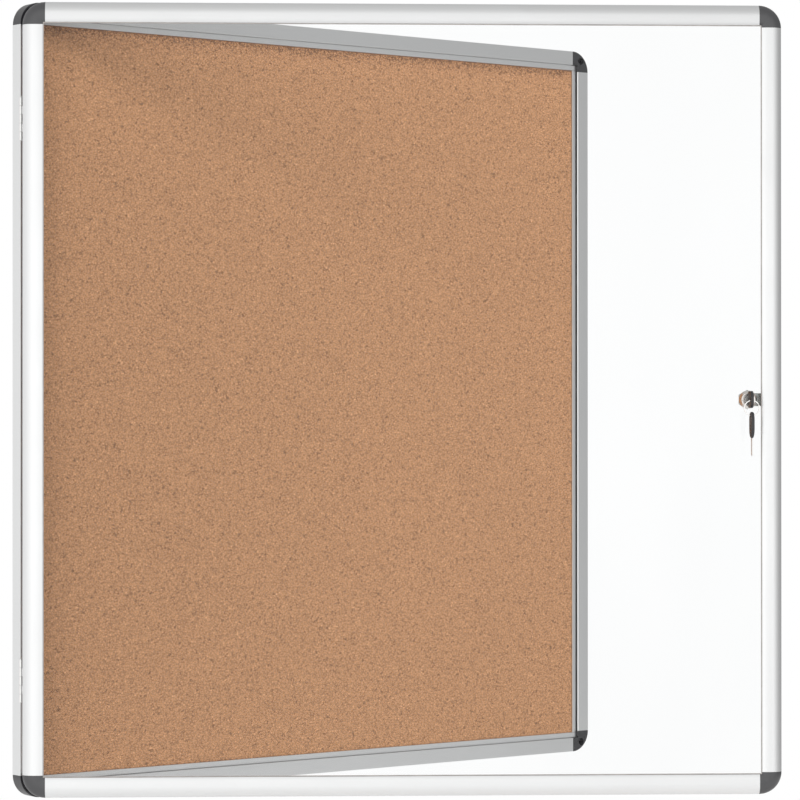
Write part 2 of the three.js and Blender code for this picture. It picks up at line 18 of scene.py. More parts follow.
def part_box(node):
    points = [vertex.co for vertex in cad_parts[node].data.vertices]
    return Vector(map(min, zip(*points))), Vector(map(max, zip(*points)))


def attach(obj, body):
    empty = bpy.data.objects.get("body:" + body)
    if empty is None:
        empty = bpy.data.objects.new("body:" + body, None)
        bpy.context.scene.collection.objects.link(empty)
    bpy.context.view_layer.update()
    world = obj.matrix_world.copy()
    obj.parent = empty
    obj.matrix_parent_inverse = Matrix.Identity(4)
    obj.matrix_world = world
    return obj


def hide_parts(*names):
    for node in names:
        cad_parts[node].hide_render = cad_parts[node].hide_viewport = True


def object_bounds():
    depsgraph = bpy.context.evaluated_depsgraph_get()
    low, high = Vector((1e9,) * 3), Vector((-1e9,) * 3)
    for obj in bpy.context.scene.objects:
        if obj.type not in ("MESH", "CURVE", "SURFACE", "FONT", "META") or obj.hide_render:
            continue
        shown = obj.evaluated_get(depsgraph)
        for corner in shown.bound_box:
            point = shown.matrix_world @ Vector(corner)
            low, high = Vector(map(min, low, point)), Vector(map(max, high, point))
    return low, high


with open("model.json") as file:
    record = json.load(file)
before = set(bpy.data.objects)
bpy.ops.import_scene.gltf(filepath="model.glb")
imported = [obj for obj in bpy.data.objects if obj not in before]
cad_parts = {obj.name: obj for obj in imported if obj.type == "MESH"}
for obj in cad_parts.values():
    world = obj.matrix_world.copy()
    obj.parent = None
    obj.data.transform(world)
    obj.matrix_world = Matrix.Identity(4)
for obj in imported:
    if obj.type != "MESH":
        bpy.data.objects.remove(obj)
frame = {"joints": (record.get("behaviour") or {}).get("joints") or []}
cad_box = [list(corner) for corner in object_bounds()]
scene = bpy.context.scene
joints = {joint["name"]: joint for joint in frame["joints"]}
MM = 0.001

# %% [markdown]
# ## Camera
# The photograph was taken from the left of the board with a long lens, about 4.4 m away. The
# camera was found by fitting the edges of case and door, so it is written as a place, a turn to
# the right, a small tilt and a lens. A long lens keeps the rails nearly parallel.

# %% Camera
CAMERA_PLACE = (-2.6873, -3.4937, -0.0169)
CAMERA_TURN, CAMERA_TILT, CAMERA_ROLL = 39.029, 0.230, -0.015
CAMERA_LENS, CAMERA_SENSOR = 150.08, 36.0


def add_camera():
    """The camera looks along +Y, is tilted up, turned right about Z and rolled about its view."""
    data = bpy.data.cameras.new("board_camera")
    data.lens, data.sensor_width = CAMERA_LENS, CAMERA_SENSOR
    camera = bpy.data.objects.new("board_camera", data)
    pose = Matrix.Translation(CAMERA_PLACE)
    for angle, axis in ((-CAMERA_TURN, "Z"), (90 + CAMERA_TILT, "X"), (CAMERA_ROLL, "Z")):
        pose = pose @ Matrix.Rotation(math.radians(angle), 4, axis)
    camera.matrix_world = pose
    scene.collection.objects.link(camera)
    scene.camera = camera


add_camera()
print("camera lens", CAMERA_LENS)

# %% [markdown]
# ## Networks of nodes
# The world and every material are networks of nodes. One class holds the short calls that they
# all use: add a node, do one step of arithmetic, mix two shaders into the output.


# %% Network
class Network:
    """The nodes of a world or a material, starting from none."""

    def __init__(self, owner):
        owner.use_nodes = True
        self.owner, self.nodes, self.links = owner, owner.node_tree.nodes, owner.node_tree.links
        self.nodes.clear()

    def add(self, kind, settings=(), inputs=()):
        """A node with its settings and its inputs, where an input is a value or another output."""
        node = self.nodes.new("ShaderNode" + kind)
        for key, value in dict(settings).items():
            setattr(node, key, value)
        for key, value in dict(inputs).items():
            if isinstance(value, bpy.types.NodeSocket):
                self.links.new(value, node.inputs[key])
            else:
                node.inputs[key].default_value = value
        return node

    def math(self, operation, one, two=0.0):
        """One step of arithmetic on two numbers."""
        return self.add("Math", {"operation": operation}, {0: one, 1: two}).outputs[0]

    def vector(self, operation, *parts, output="Vector", **inputs):
        """One step of arithmetic on vectors."""
        node = self.add("VectorMath", {"operation": operation}, {**dict(enumerate(parts)), **inputs})
        return node.outputs[output]

    def show(self, kind, factor, first, second):
        """Mixes two shaders by a factor into the output of a World or a Material."""
        mix = self.add("MixShader", inputs={0: factor, 1: first.outputs[0], 2: second.outputs[0]})
        self.add("Output" + kind, inputs={"Surface": mix.outputs[0]})


# %% [markdown]
# ## White studio
# The photograph has no room: the ground behind the board is plain white. The world is white for
# what the camera sees, directly, in metal or through the pane, and a softer white for the light
# that falls on matt surfaces. So the background can be white without bleaching the cork.

# %% World
LIGHT_STRENGTH = 0.7
WHITE = (1, 1, 1, 1)


def add_world():
    """White for a camera, glossy or transmission ray that met no matt surface, dimmer elsewhere."""
    scene.world = bpy.data.worlds.new("white_studio")
    net = Network(scene.world)
    path = net.add("LightPath").outputs
    seen = net.math("MAXIMUM", path["Is Camera Ray"], path["Is Glossy Ray"])
    seen = net.math("MAXIMUM", seen, path["Is Transmission Ray"])
    seen = net.math("MULTIPLY", seen, net.math("LESS_THAN", path["Diffuse Depth"], 0.5))
    light, white = (net.add("Background", inputs={"Color": WHITE, "Strength": strength})
                    for strength in (LIGHT_STRENGTH, 1.0))
    net.show("World", seen, light, white)


add_world()
scene.view_settings.view_transform = "Standard"
print("world light", LIGHT_STRENGTH)

# %% [markdown]
# ## Softboxes
# Two large softboxes stand left and right of the camera. Their size matters more than their
# power: the bigger the box, the softer the shadow. Reflections don't see them, because the
# light tent below is what the metal and the pane reflect.

# %% Lamps
LAMPS = {"softbox_left": ((-3.3, -2.4, 1.75), 57), "softbox_front": ((-0.6, -3.8, 1.65), 51)}
LAMP_WIDTH = 2.0
LAMP_TARGET = Vector((-0.05, -0.25, 0.0))


def add_softbox(name, place, power):
    """A square lamp at a place, turned so that its face looks at the board's middle."""
    data = bpy.data.lights.new(name, "AREA")
    data.shape, data.size, data.size_y, data.energy = "RECTANGLE", LAMP_WIDTH, LAMP_WIDTH, power
    lamp = bpy.data.objects.new(name, data)
    lamp.location = place
    lamp.rotation_euler = (LAMP_TARGET - Vector(place)).to_track_quat("-Z", "Y").to_euler()
    lamp.visible_glossy = lamp.visible_transmission = False
    scene.collection.objects.link(lamp)
    print(name, power, "W")


for name, (place, power) in LAMPS.items():
    add_softbox(name, place, power)

# %% [markdown]
# ## Surfaces of two parameters
# Every new surface is a grid of numbers and a rule that places them. The rule is mostly an
# origin and three directions: each number says how far to go along its own direction.


# %% Grids and turned shells
STAGE_STEPS = 64


def spot(origin, *ways):
    """A rule that turns numbers into points: the origin plus each number times its own way."""
    return lambda *parts: sum((part[..., None] * way for part, way in zip(parts, ways)), origin)


def grid_faces(rows, columns, closed=True):
    """Quads between neighbouring rows of points. A closed grid joins its last column to its first."""
    row, column = np.mgrid[0:rows - 1, 0:columns if closed else columns - 1]
    here, beside = row * columns, (column + 1) % columns
    corners = [here + column, here + beside, here + columns + beside, here + columns + column]
    return np.stack(corners, -1).reshape(-1, 4)


def sheet(place, u, v, w, closed=False):
    """An open sheet: three grids of numbers placed by a rule, with quads between neighbours."""
    u, v, w = np.broadcast_arrays(u, v, w)
    return place(u, v, w).reshape(-1, 3), grid_faces(*u.shape, closed).tolist()


def turned(profile, place, steps):
    """A closed shell of revolution: radius and height along a profile that starts and ends on the
    axis, turned through a full circle. place turns two radii and a height into points."""
    profile = np.array(profile, float)
    radius, height = profile[1:-1, :1], profile[1:-1, 1:]
    angle = np.linspace(0, 2 * np.pi, steps, endpoint=False)
    ring, faces = sheet(place, radius * np.cos(angle), radius * np.sin(angle), height, True)
    poles = place(np.zeros(2), np.zeros(2), profile[[0, -1], 1])
    spoke, count = np.arange(steps), len(ring)
    beside, last = (spoke + 1) % steps, count - steps
    first_fan = np.stack([np.full(steps, count), spoke, beside], 1)
    last_fan = np.stack([np.full(steps, count + 1), last + beside, last + spoke], 1)
    return np.concatenate([ring, poles]), faces + first_fan.tolist() + last_fan.tolist()


def stage_object(name, profile, material):
    """A turned shell that belongs to the studio and not to the board."""
    points, faces = turned(profile, spot(np.zeros(3), *np.eye(3)), STAGE_STEPS)
    mesh = bpy.data.meshes.new(name)
    mesh.from_pydata(points.tolist(), [], faces)
    mesh.materials.append(material)
    thing = bpy.data.objects.new(name, mesh)
    scene.collection.objects.link(thing)
    print(name, len(faces), "faces")
    return thing


# %% [markdown]
# ## Light tent
# Bare aluminium shows its surroundings. In an all-white room its rounded edges would vanish, so
# a photographer shoots it from inside a tent that is white around the camera and greyer towards
# the sides. This tent is a sphere that only reflections see. Its tone depends on the direction
# from the board, in the tent's own Object coordinates.

# %% Light tent
TENT_RADIUS, TENT_RINGS = 12.0, 33
TENT_MIDDLE = 1.3
TENT_LOSS = {"right": 0.925, "left": 0.47, "above": 0.7, "below": 1.1}
TENT_REACH = {"right": 0.13, "left": 0.24, "above": 0.1, "below": 0.09}
TENT_TURN = CAMERA_TURN - 12
TENT_SECOND = 0.35
LEAST_REACH, LEAST_WEIGHT = 0.05, 0.0001


def tent_material():
    """Tone = middle - loss of the side * (1 - exp(-t to the power p / reach)).

    t goes from 0 at the tent's middle to 1 opposite. The loss and reach of a direction are the
    means of those right, left, above and below, weighted by the squares of its parts on these
    axes. The power p is 1 to the sides and 1/2 above and below. A second reflection sees a
    darker tent.
    """
    net = Network(bpy.data.materials.new("light_tent"))
    step = net.math
    turn = math.radians(TENT_TURN)
    direction = net.vector("NORMALIZE", net.add("TexCoord").outputs["Object"])
    to_camera, sideways, upward = (
        net.vector("DOT_PRODUCT", direction, way, output="Value")
        for way in ((-math.sin(turn), -math.cos(turn), 0), (math.cos(turn), -math.sin(turn), 0), (0, 0, 1))
    )
    away = step("MULTIPLY", step("SUBTRACT", 1.0, to_camera), 0.5)
    loss, reach, weight, shares = 0.0, 0.0, LEAST_WEIGHT, {}
    for name, part, sign in (("right", sideways, 1), ("left", sideways, -1),
                             ("above", upward, 1), ("below", upward, -1)):
        ahead = step("MAXIMUM", step("MULTIPLY", part, sign), 0.0)
        shares[name] = step("MULTIPLY", ahead, ahead)
        loss = step("ADD", step("MULTIPLY", shares[name], TENT_LOSS[name]), loss)
        reach = step("ADD", step("MULTIPLY", shares[name], TENT_REACH[name]), reach)
        weight = step("ADD", shares[name], weight)
    loss = step("DIVIDE", loss, weight)
    upright = step("DIVIDE", step("ADD", shares["above"], shares["below"]), weight)
    reach = step("MAXIMUM", step("DIVIDE", reach, weight), LEAST_REACH)
    powered = step("POWER", away, step("SUBTRACT", 1.0, step("MULTIPLY", upright, 0.5)))
    fall = step("EXPONENT", step("MULTIPLY", step("DIVIDE", powered, reach), -1.0))
    tone = step("SUBTRACT", TENT_MIDDLE, step("MULTIPLY", loss, step("SUBTRACT", 1.0, fall)))
    depth = net.add("LightPath").outputs["Glossy Depth"]
    second = step("GREATER_THAN", depth, 1.5)
    kept = step("SUBTRACT", 1.0, step("MULTIPLY", second, 1.0 - TENT_SECOND))
    glow = net.add("Emission", inputs={"Strength": step("MULTIPLY", tone, kept)})
    net.show("Material", step("GREATER_THAN", depth, 0.5), net.add("BsdfTransparent"), glow)
    return net.owner


def add_tent():
    """A sphere: its radius times the sine and cosine of an angle from pole to pole, turned."""
    angle = np.linspace(0, np.pi, TENT_RINGS)
    profile = np.stack([TENT_RADIUS * np.sin(angle), -TENT_RADIUS * np.cos(angle)], 1)
    tent = stage_object("light_tent", profile, tent_material())
    tent.data.shade_smooth()
    tent.visible_camera = tent.visible_diffuse = tent.visible_shadow = False


add_tent()

# %% [markdown]
# ## Floor
# A pale floor lies below the board and keeps its soft shadow. Far from the board it fades into
# the white ground, so its rim never shows. The fade reads the floor's own Object coordinates.

# %% Floor
FLOOR_LEVEL = cad_box[0][2] - 0.45
FLOOR_RADIUS, FLOOR_THICKNESS, FLOOR_RINGS = 2.2, 0.02, 13
FLOOR_FADE = {"From Min": 0.8, "From Max": 2.1}
FLOOR_COLOUR = (0.88, 0.88, 0.88, 1)


def floor_material():
    """A lit grey-white that goes over to unlit white outwards."""
    net = Network(bpy.data.materials.new("pale_floor"))
    away = net.vector("LENGTH", net.add("TexCoord").outputs["Object"], output="Value")
    fade = net.add("MapRange", {"interpolation_type": "SMOOTHSTEP"}, {"Value": away, **FLOOR_FADE})
    lit = net.add("BsdfDiffuse", inputs={"Color": FLOOR_COLOUR})
    net.show("Material", fade.outputs["Result"], lit, net.add("Emission"))
    return net.owner


def add_floor():
    """A very flat turned dish: its top runs outwards, its underside straight back to the axis."""
    top = [(radius, FLOOR_LEVEL) for radius in np.linspace(0, FLOOR_RADIUS, FLOOR_RINGS)]
    stage_object("pale_floor", [*top, (0, FLOOR_LEVEL - FLOOR_THICKNESS)], floor_material())


add_floor()
print("floor level", round(FLOOR_LEVEL, 3))

# %% [markdown]
# ## Two drawing boards
# Every rail and corner is drawn once, as a section with u inward from the outer edge and v
# forward from the back. Case and door each have a place and three directions. The door's come
# from its joints: the lock's axis points into the board, so the door's front is its opposite.

# %% Case and door places
CASE_SIZE, DOOR_SIZE = (940, 980), (936, 976)
HINGE_TO_DOOR = (2.3, 1.5)
UP = np.array([0.0, 0.0, 1.0])
SIDES = ("left", "top", "right", "bottom")
UPRIGHT = ("left", "right")
CORNERS = ("top_left", "top_right", "bottom_right", "bottom_left")

hinge_axis = np.array(joints["door_hinge"]["pos_m"]) / MM
door_front = -np.array(joints["lock_turn"]["axis"])
door_front /= np.linalg.norm(door_front)
door_right = np.cross(-door_front, UP)
door_edge = hinge_axis + HINGE_TO_DOOR[0] * door_right + HINGE_TO_DOOR[1] * door_front
CASE = {"back": np.zeros(3), "right": np.array([1.0, 0.0, 0.0]), "front": np.array([0.0, -1.0, 0.0]),
        "size": CASE_SIZE}
DOOR = {"back": door_edge + door_right * DOOR_SIZE[0] / 2, "right": door_right, "front": door_front,
        "size": DOOR_SIZE}
print("door back", np.round(DOOR["back"], 3), "right", np.round(door_right, 4))


# %% Inward directions of sides and corners
def side_axes(part, side):
    """Middle of the side's outer edge, the way inward from it, the way along it, its length."""
    turn = SIDES.index(side)
    ways = (part["right"], -UP, -part["right"], UP)
    middle = part["back"] - ways[turn] * (part["size"][turn % 2] / 2)
    return middle, ways[turn], ways[turn - 1], part["size"][1 - turn % 2]


def corner_axes(part, corner):
    """The outer corner point and the two ways inward, first along u and then along w."""
    turn = CORNERS.index(corner)
    first, second = (side_axes(part, SIDES[index % 4])[1] for index in (turn, turn + 1))
    reach = (part["size"][turn % 2] / 2, part["size"][(turn + 1) % 2] / 2)
    return part["back"] - first * reach[0] - second * reach[1], first, second


def along_side(part, side):
    """Turns u, v and a distance along the side into points."""
    start, inward, along, _ = side_axes(part, side)
    return spot(start, inward, part["front"], along)


# %% [markdown]
# ## From outline to mesh
# An extruded rail is one outline carried along a line, and a moulded corner is the same outline
# carried round a quarter turn. So one function does both: it takes closed outlines, the stations
# to carry them through, and a rule that says where a point of the outline lies at a station. The
# ends are closed with flat faces, cut into triangles so that hollow sections stay hollow.

# %% Outline helpers
CURVE_SHARE = 0.45
SHARPEST_TURN = 0.5


def arc(centre, radii, start, end, steps):
    """Centre plus each radius times the cosine and the sine of an angle from start to end."""
    angle = np.radians(np.linspace(start, end, steps + 1))
    return np.stack([centre[0] + radii[0] * np.cos(angle), centre[1] + radii[1] * np.sin(angle)], 1)


def circle(centre, radius, steps=40):
    """A closed ring of points."""
    return arc(centre, (radius, radius), 0, 360, steps)[:-1]


def softened(points, radius, steps=3):
    """Each corner of a closed outline becomes a small curve that leaves its two sides radius away.

    The curve is the parabola (1-t)(1-t) A + 2t(1-t) P + t t B from A on one side to B on the
    other. A side shorter than two radii gives the curve less than half of itself.
    """
    points = np.array(points, float)
    radius = np.broadcast_to(np.array(radius, float), len(points))[:, None]
    ends = []
    for beside in (np.roll(points, 1, 0), np.roll(points, -1, 0)):
        length = np.linalg.norm(beside - points, axis=1, keepdims=True)
        ends.append(points + (beside - points) / length * np.minimum(radius, CURVE_SHARE * length))
    start, end, corner = ends[0][:, None], ends[1][:, None], points[:, None]
    t = np.linspace(0, 1, steps + 1)[None, :, None]
    return without_doubles(((1 - t) ** 2 * start + 2 * t * (1 - t) * corner + t**2 * end).reshape(-1, 2))


def without_doubles(points, least=1e-4):
    """Drops each point of a closed outline that lies on the one before it."""
    return points[np.linalg.norm(points - np.roll(points, 1, 0), axis=1) > least]


def box_outline(high, radius, low=None, steps=3):
    """A rectangle with softened corners, from low to high, or about the middle."""
    low = low or (-high[0], -high[1])
    return softened([low, (high[0], low[1]), high, (low[0], high[1])], radius, steps)


def inset(points, depth):
    """Moves each point inward along the mean of its two sides' normals, so that both sides move
    by depth. The sharpest turn limits how far a point may run ahead of its sides."""
    ahead = np.roll(points, -1, 0)
    normal = (ahead - points)[:, ::-1] * (-1, 1)
    normal /= np.linalg.norm(normal, axis=1, keepdims=True)
    area = np.sum(points[:, 0] * ahead[:, 1] - points[:, 1] * ahead[:, 0])
    mean = normal + np.roll(normal, 1, 0)
    share = np.maximum(np.sum(mean * mean, axis=1, keepdims=True) / 2, SHARPEST_TURN)
    return points + np.sign(area) * mean / share * depth


# %% Carried outlines
ROUNDING_STEPS = 4


def stations(low, high, steps=1, rounding=0.0):
    """Stations from low to high and, at each, how far the outline draws in.

    Near an end the outline draws in as a quarter circle does: at a station rounding * (1 - cos a)
    from the end it draws in by rounding * (1 - sin a).
    """
    inner = np.linspace(low + rounding, high - rounding, steps + 1)
    if rounding == 0:
        return inner, 0 * inner
    angle = np.linspace(0, np.pi / 2, ROUNDING_STEPS + 1)[:-1]
    lead, drawn = rounding * (1 - np.cos(angle)), rounding * (1 - np.sin(angle))
    line = np.concatenate([low + lead, inner, high - lead[::-1]])
    return line, np.concatenate([drawn, 0 * inner, drawn[::-1]])


def triangles(loops):
    """Cuts the flat face between a rim and its holes into triangles of point numbers."""
    return np.array(tessellate_polygon([[Vector((*point, 0)) for point in loop] for loop in loops]))


def carried(outlines, place, line, drawn=None):
    """A closed shell: each outline at each station, walls between stations, flat closed ends.

    place turns arrays of u, v and station into points. The first outline is the outside. The
    others are hollows, which widen where the outside draws in. The third result tells each
    point's way round its outline and its station.
    """
    points, faces, surface, rims, offset = [], [], [], [], 0
    for index, outline in enumerate(outlines):
        depths = 0 * line if drawn is None else drawn
        rings = np.stack([inset(outline, depth if index == 0 else -depth) for depth in depths])
        station = np.broadcast_to(line[:, None], rings.shape[:2])
        walk = np.cumsum(np.linalg.norm(outline - np.roll(outline, 1, 0), axis=1)) + 0 * station
        points.append(place(rings[..., 0], rings[..., 1], station).reshape(-1, 3))
        surface.append(np.stack([walk, station, 0 * station], -1).reshape(-1, 3))
        faces += (grid_faces(len(line), len(outline)) + offset).tolist()
        number, last = offset + np.arange(len(outline)), (len(line) - 1) * len(outline)
        rims.append([(rings[0], number), (rings[-1], number + last)])
        offset += len(points[-1])
    for rim in zip(*rims):
        loops, numbers = zip(*rim)
        faces += np.concatenate(numbers)[triangles(loops)].tolist()
    return np.concatenate(points), faces, np.concatenate(surface)


def ring_shell(radius, height, place, steps):
    """A closed outline of radii and heights, each a function of the angle, turned full circle."""
    angle = np.linspace(0, 2 * np.pi, steps, endpoint=False)[:, None]
    radius, height = np.broadcast_arrays(radius(angle), height(angle))
    points = place(radius * np.cos(angle), radius * np.sin(angle), height).reshape(-1, 3)
    return points, (grid_faces(steps + 1, radius.shape[1]) % len(points)).tolist()


# %% [markdown]
# A shell becomes an object: its points go into the mesh in one call, and its faces are turned to
# look outward. Faces that meet at more than a set angle keep a crisp edge, all others are smooth.
# A Weighted Normal modifier lets the large faces set the shading, so flat bands stay flat. Each
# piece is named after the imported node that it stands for.

# %% Shells to objects
SHARP_ANGLE = math.radians(38)
SAME_POINT = 0.002


def add_piece(node, shells, material, body):
    """One object from shells in millimetres, riding on a body and standing for a node.

    A carried shell also tells where its points lie on its surface. A piece made only of such
    shells keeps that as an attribute.
    """
    starts = np.cumsum([0] + [len(shell[0]) for shell in shells]).tolist()
    faces = [[number + start for number in face]
             for shell, start in zip(shells, starts) for face in shell[1]]
    mesh = bpy.data.meshes.new(node + "_fine")
    mesh.from_pydata((np.concatenate([shell[0] for shell in shells]) * MM).tolist(), [], faces)
    if all(len(shell) == 3 for shell in shells):
        surface = np.concatenate([shell[2] for shell in shells]) * MM
        walk = mesh.attributes.new("surface", "FLOAT_VECTOR", "POINT")
        walk.data.foreach_set("vector", surface.astype(np.float32).ravel())
    look_outward(mesh)
    mesh.materials.append(material)
    piece = bpy.data.objects.new(node + "_fine", mesh)
    scene.collection.objects.link(piece)
    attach(piece, body)
    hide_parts(node)
    piece.modifiers.new("even_normals", "WEIGHTED_NORMAL").keep_sharp = True
    print(piece.name, len(mesh.polygons), "faces on", body)


def look_outward(mesh):
    """Merges doubled points, turns every shell's faces outward and marks its crisp edges."""
    shape = bmesh.new()
    shape.from_mesh(mesh)
    bmesh.ops.remove_doubles(shape, verts=shape.verts, dist=SAME_POINT * MM)
    bmesh.ops.recalc_face_normals(shape, faces=shape.faces)
    open_edges = sum(len(edge.link_faces) != 2 for edge in shape.edges)
    shape.to_mesh(mesh)
    shape.free()
    mesh.shade_smooth()
    mesh.set_sharp_from_angle(angle=SHARP_ANGLE)
    if open_edges:
        print("open edges in", mesh.name, open_edges)


# %% [markdown]
# ## Finishes
# Each finish is one Principled shader. What is the same everywhere is set on the shader itself.
# What varies, such as grain, flecks or roughness, comes from noise on Object coordinates, or on
# the rail's own surface attribute where the pattern has to follow the extrusion.

# %% Material helpers
NOISE_RANGE = (0.3, 0.7)


class Finish(Network):
    """A material with one Principled shader and short calls for what feeds it."""

    def __init__(self, name, **values):
        super().__init__(bpy.data.materials.new(name))
        inputs = {socket.replace("_", " "): value for socket, value in values.items()}
        self.shader = self.add("BsdfPrincipled", inputs=inputs)
        self.add("OutputMaterial", inputs={"Surface": self.shader.outputs[0]})

    def place(self, scale=(1, 1, 1)):
        """The piece's Object coordinates, stretched by a scale."""
        place = self.add("TexCoord").outputs["Object"]
        return self.add("Mapping", inputs={"Vector": place, "Scale": scale}).outputs[0]

    def surface(self, scale):
        """The rail's own surface attribute, stretched by a scale."""
        place = self.add("Attribute", {"attribute_name": "surface"}).outputs["Vector"]
        return self.add("Mapping", inputs={"Vector": place, "Scale": scale}).outputs[0]

    def noise(self, place, scale, detail=2.0, roughness=0.5):
        """Noise of a scale in cells per metre, about 0.5 on average."""
        inputs = {"Vector": place, "Scale": scale, "Detail": detail, "Roughness": roughness}
        return self.add("TexNoise", inputs=inputs).outputs["Fac"]

    def spread(self, value, low, high, to_low, to_high):
        """A number carried from one range to another."""
        inputs = {"Value": value, "From Min": low, "From Max": high, "To Min": to_low, "To Max": to_high}
        return self.add("MapRange", inputs=inputs).outputs["Result"]

    def blend(self, one, two, share):
        """A share of one number plus the rest of another."""
        return self.math("ADD", self.math("MULTIPLY", one, share), self.math("MULTIPLY", two, 1 - share))

    def feed(self, socket, output):
        """Links an output to one of the shader's sockets."""
        self.links.new(output, self.shader.inputs[socket])

    def tint(self, colours, factor):
        """Base colour from a ramp of (place, colour) stops read at a factor."""
        ramp = self.add("ValToRGB", inputs={"Fac": factor})
        stops = ramp.color_ramp.elements
        for stop, (place, colour) in zip(stops, (colours[0], colours[-1])):
            stop.position, stop.color = place, (*colour, 1)
        for place, colour in colours[1:-1]:
            stops.new(place).color = (*colour, 1)
        self.feed("Base Color", ramp.outputs["Color"])

    def rough(self, noise, low, high):
        """Roughness from low to high over the middle range of a noise."""
        self.feed("Roughness", self.spread(noise, *NOISE_RANGE, low, high))

    def relief(self, height, depth, strength):
        """Bump from a height between 0 and 1 that stands for a depth in metres."""
        inputs = {"Height": height, "Distance": depth, "Strength": strength}
        self.feed("Normal", self.add("Bump", inputs=inputs).outputs["Normal"])


# %% [markdown]
# Satin anodised aluminium is bare metal with a very fine matt skin. Its extrusion lines run along
# the rail, so the noise is stretched a hundredfold along the second surface coordinate. The lines
# change the roughness a little and the height hardly at all. The door's level rails scatter light
# upright across their lines, so their finish is the softer one.

# %% Satin aluminium
ALUMINIUM_COLOUR = (0.915, 0.92, 0.92, 1)
DIE_LINES = 2600


def satin_aluminium(name, low, high):
    """Metal whose roughness wavers with lines across the section and clouds along the rail."""
    finish = Finish(name, Base_Color=ALUMINIUM_COLOUR, Metallic=1.0)
    lines = finish.noise(finish.surface((1, 0.01, 1)), DIE_LINES, 3, 0.6)
    clouds = finish.noise(finish.surface((1, 0.5, 1)), 18)
    finish.rough(finish.blend(lines, clouds, 0.6), low, high)
    finish.relief(lines, 0.000004, 0.5)
    return finish.owner


ALUMINIUM = satin_aluminium("satin_aluminium", 0.27, 0.37)
SOFT_ALUMINIUM = satin_aluminium("soft_satin_aluminium", 0.4, 0.5)
print(ALUMINIUM.name, SOFT_ALUMINIUM.name)

# %% [markdown]
# The corner pieces are moulded in dark plastic. The case's corners get a darker copy of the door's
# plastic, which is painted shade for the darker light that they face. A mould leaves a fine even
# grain that keeps the highlight soft.

# %% Moulded plastics
MOULD_GRAIN = 2200


def moulded_plastic(name, colour, index, low, high):
    """Plastic with a pebbled grain in its height and slow clouds in its roughness."""
    finish = Finish(name, Base_Color=colour, IOR=index)
    finish.rough(finish.noise(finish.place(), 90, 3), low, high)
    finish.relief(finish.noise(finish.place(), MOULD_GRAIN, 3, 0.6), 0.00002, 0.35)
    return finish.owner


GREY_PLASTIC = moulded_plastic("moulded_grey_plastic", (0.036, 0.0355, 0.038, 1), 1.8, 0.28, 0.37)
# A darker copy of the grey plastic for the case corners: painted shade.
CASE_SHADED_PLASTIC = moulded_plastic("moulded_plastic_painted_shade", (0.014, 0.0135, 0.0165, 1), 1.8, 0.28, 0.37)
BLACK_PLASTIC = moulded_plastic("moulded_black_plastic", (0.034, 0.033, 0.034, 1), 1.49, 0.32, 0.42)
print(GREY_PLASTIC.name, CASE_SHADED_PLASTIC.name, BLACK_PLASTIC.name)

# %% [markdown]
# Cork sheet is ground bark pressed with a binder: granules of one to three millimetres in several
# browns, dark flecks of bark and pale crumbs between them. A Voronoi texture cuts space into such
# granules and gives each its own number, which picks the granule's brown from a ramp. Painted
# shade darkens the sheet in the joint with its rails, and a painted soft shadow darkens it below
# the top rail.

# %% Cork
CORK_BROWNS = [(0.0, (0.2, 0.1, 0.055)), (0.2, (0.385, 0.201, 0.103)), (0.5, (0.53, 0.277, 0.14)),
               (0.8, (0.665, 0.356, 0.182)), (1.0, (0.78, 0.455, 0.25))]
CORK_EDGE = (0.4438, 0, 0.4638)
# Painted shade: the joint line and the soft shadow below the top rail are shade painted into the cork's
# colour.
EDGE_LINE, EDGE_PAINTED_SHADE = 0.0016, 0.24
TOP_SHADOW_BAND, TOP_PAINTED_SHADOW = 0.024, 0.36
CORK_STRETCH = (0.8, 1, 1)
GRANULES, CRUMBS, WOBBLE = 500, 1300, 900
GRANULE_SHARE, PALE_MIDDLES = 0.24, (0.15, 0.7, 0.5, 0.0)
DARK_FLECKS, PALE_FLECKS = (0.93, 0.96, 0.0, 0.3), (0.94, 0.97, 0.0, 0.25)


def cork_painted_shade(finish):
    """Painted shade: a dark line of shade in the joint all round and a painted soft shadow below the top
    rail.
    """
    beyond = finish.vector("SUBTRACT", finish.vector("ABSOLUTE", finish.place()), CORK_EDGE)
    parts = finish.add("SeparateXYZ", inputs={0: beyond}).outputs
    line = finish.spread(finish.math("MAXIMUM", parts[0], parts[2]), -EDGE_LINE, 0, 0, EDGE_PAINTED_SHADE)
    height = finish.add("SeparateXYZ", inputs={0: finish.place()}).outputs[2]
    band = finish.spread(height, CORK_EDGE[2] - TOP_SHADOW_BAND, CORK_EDGE[2], 0, 1)
    return finish.math("ADD", line, finish.math("MULTIPLY", finish.math("MULTIPLY", band, band), TOP_PAINTED_SHADOW))


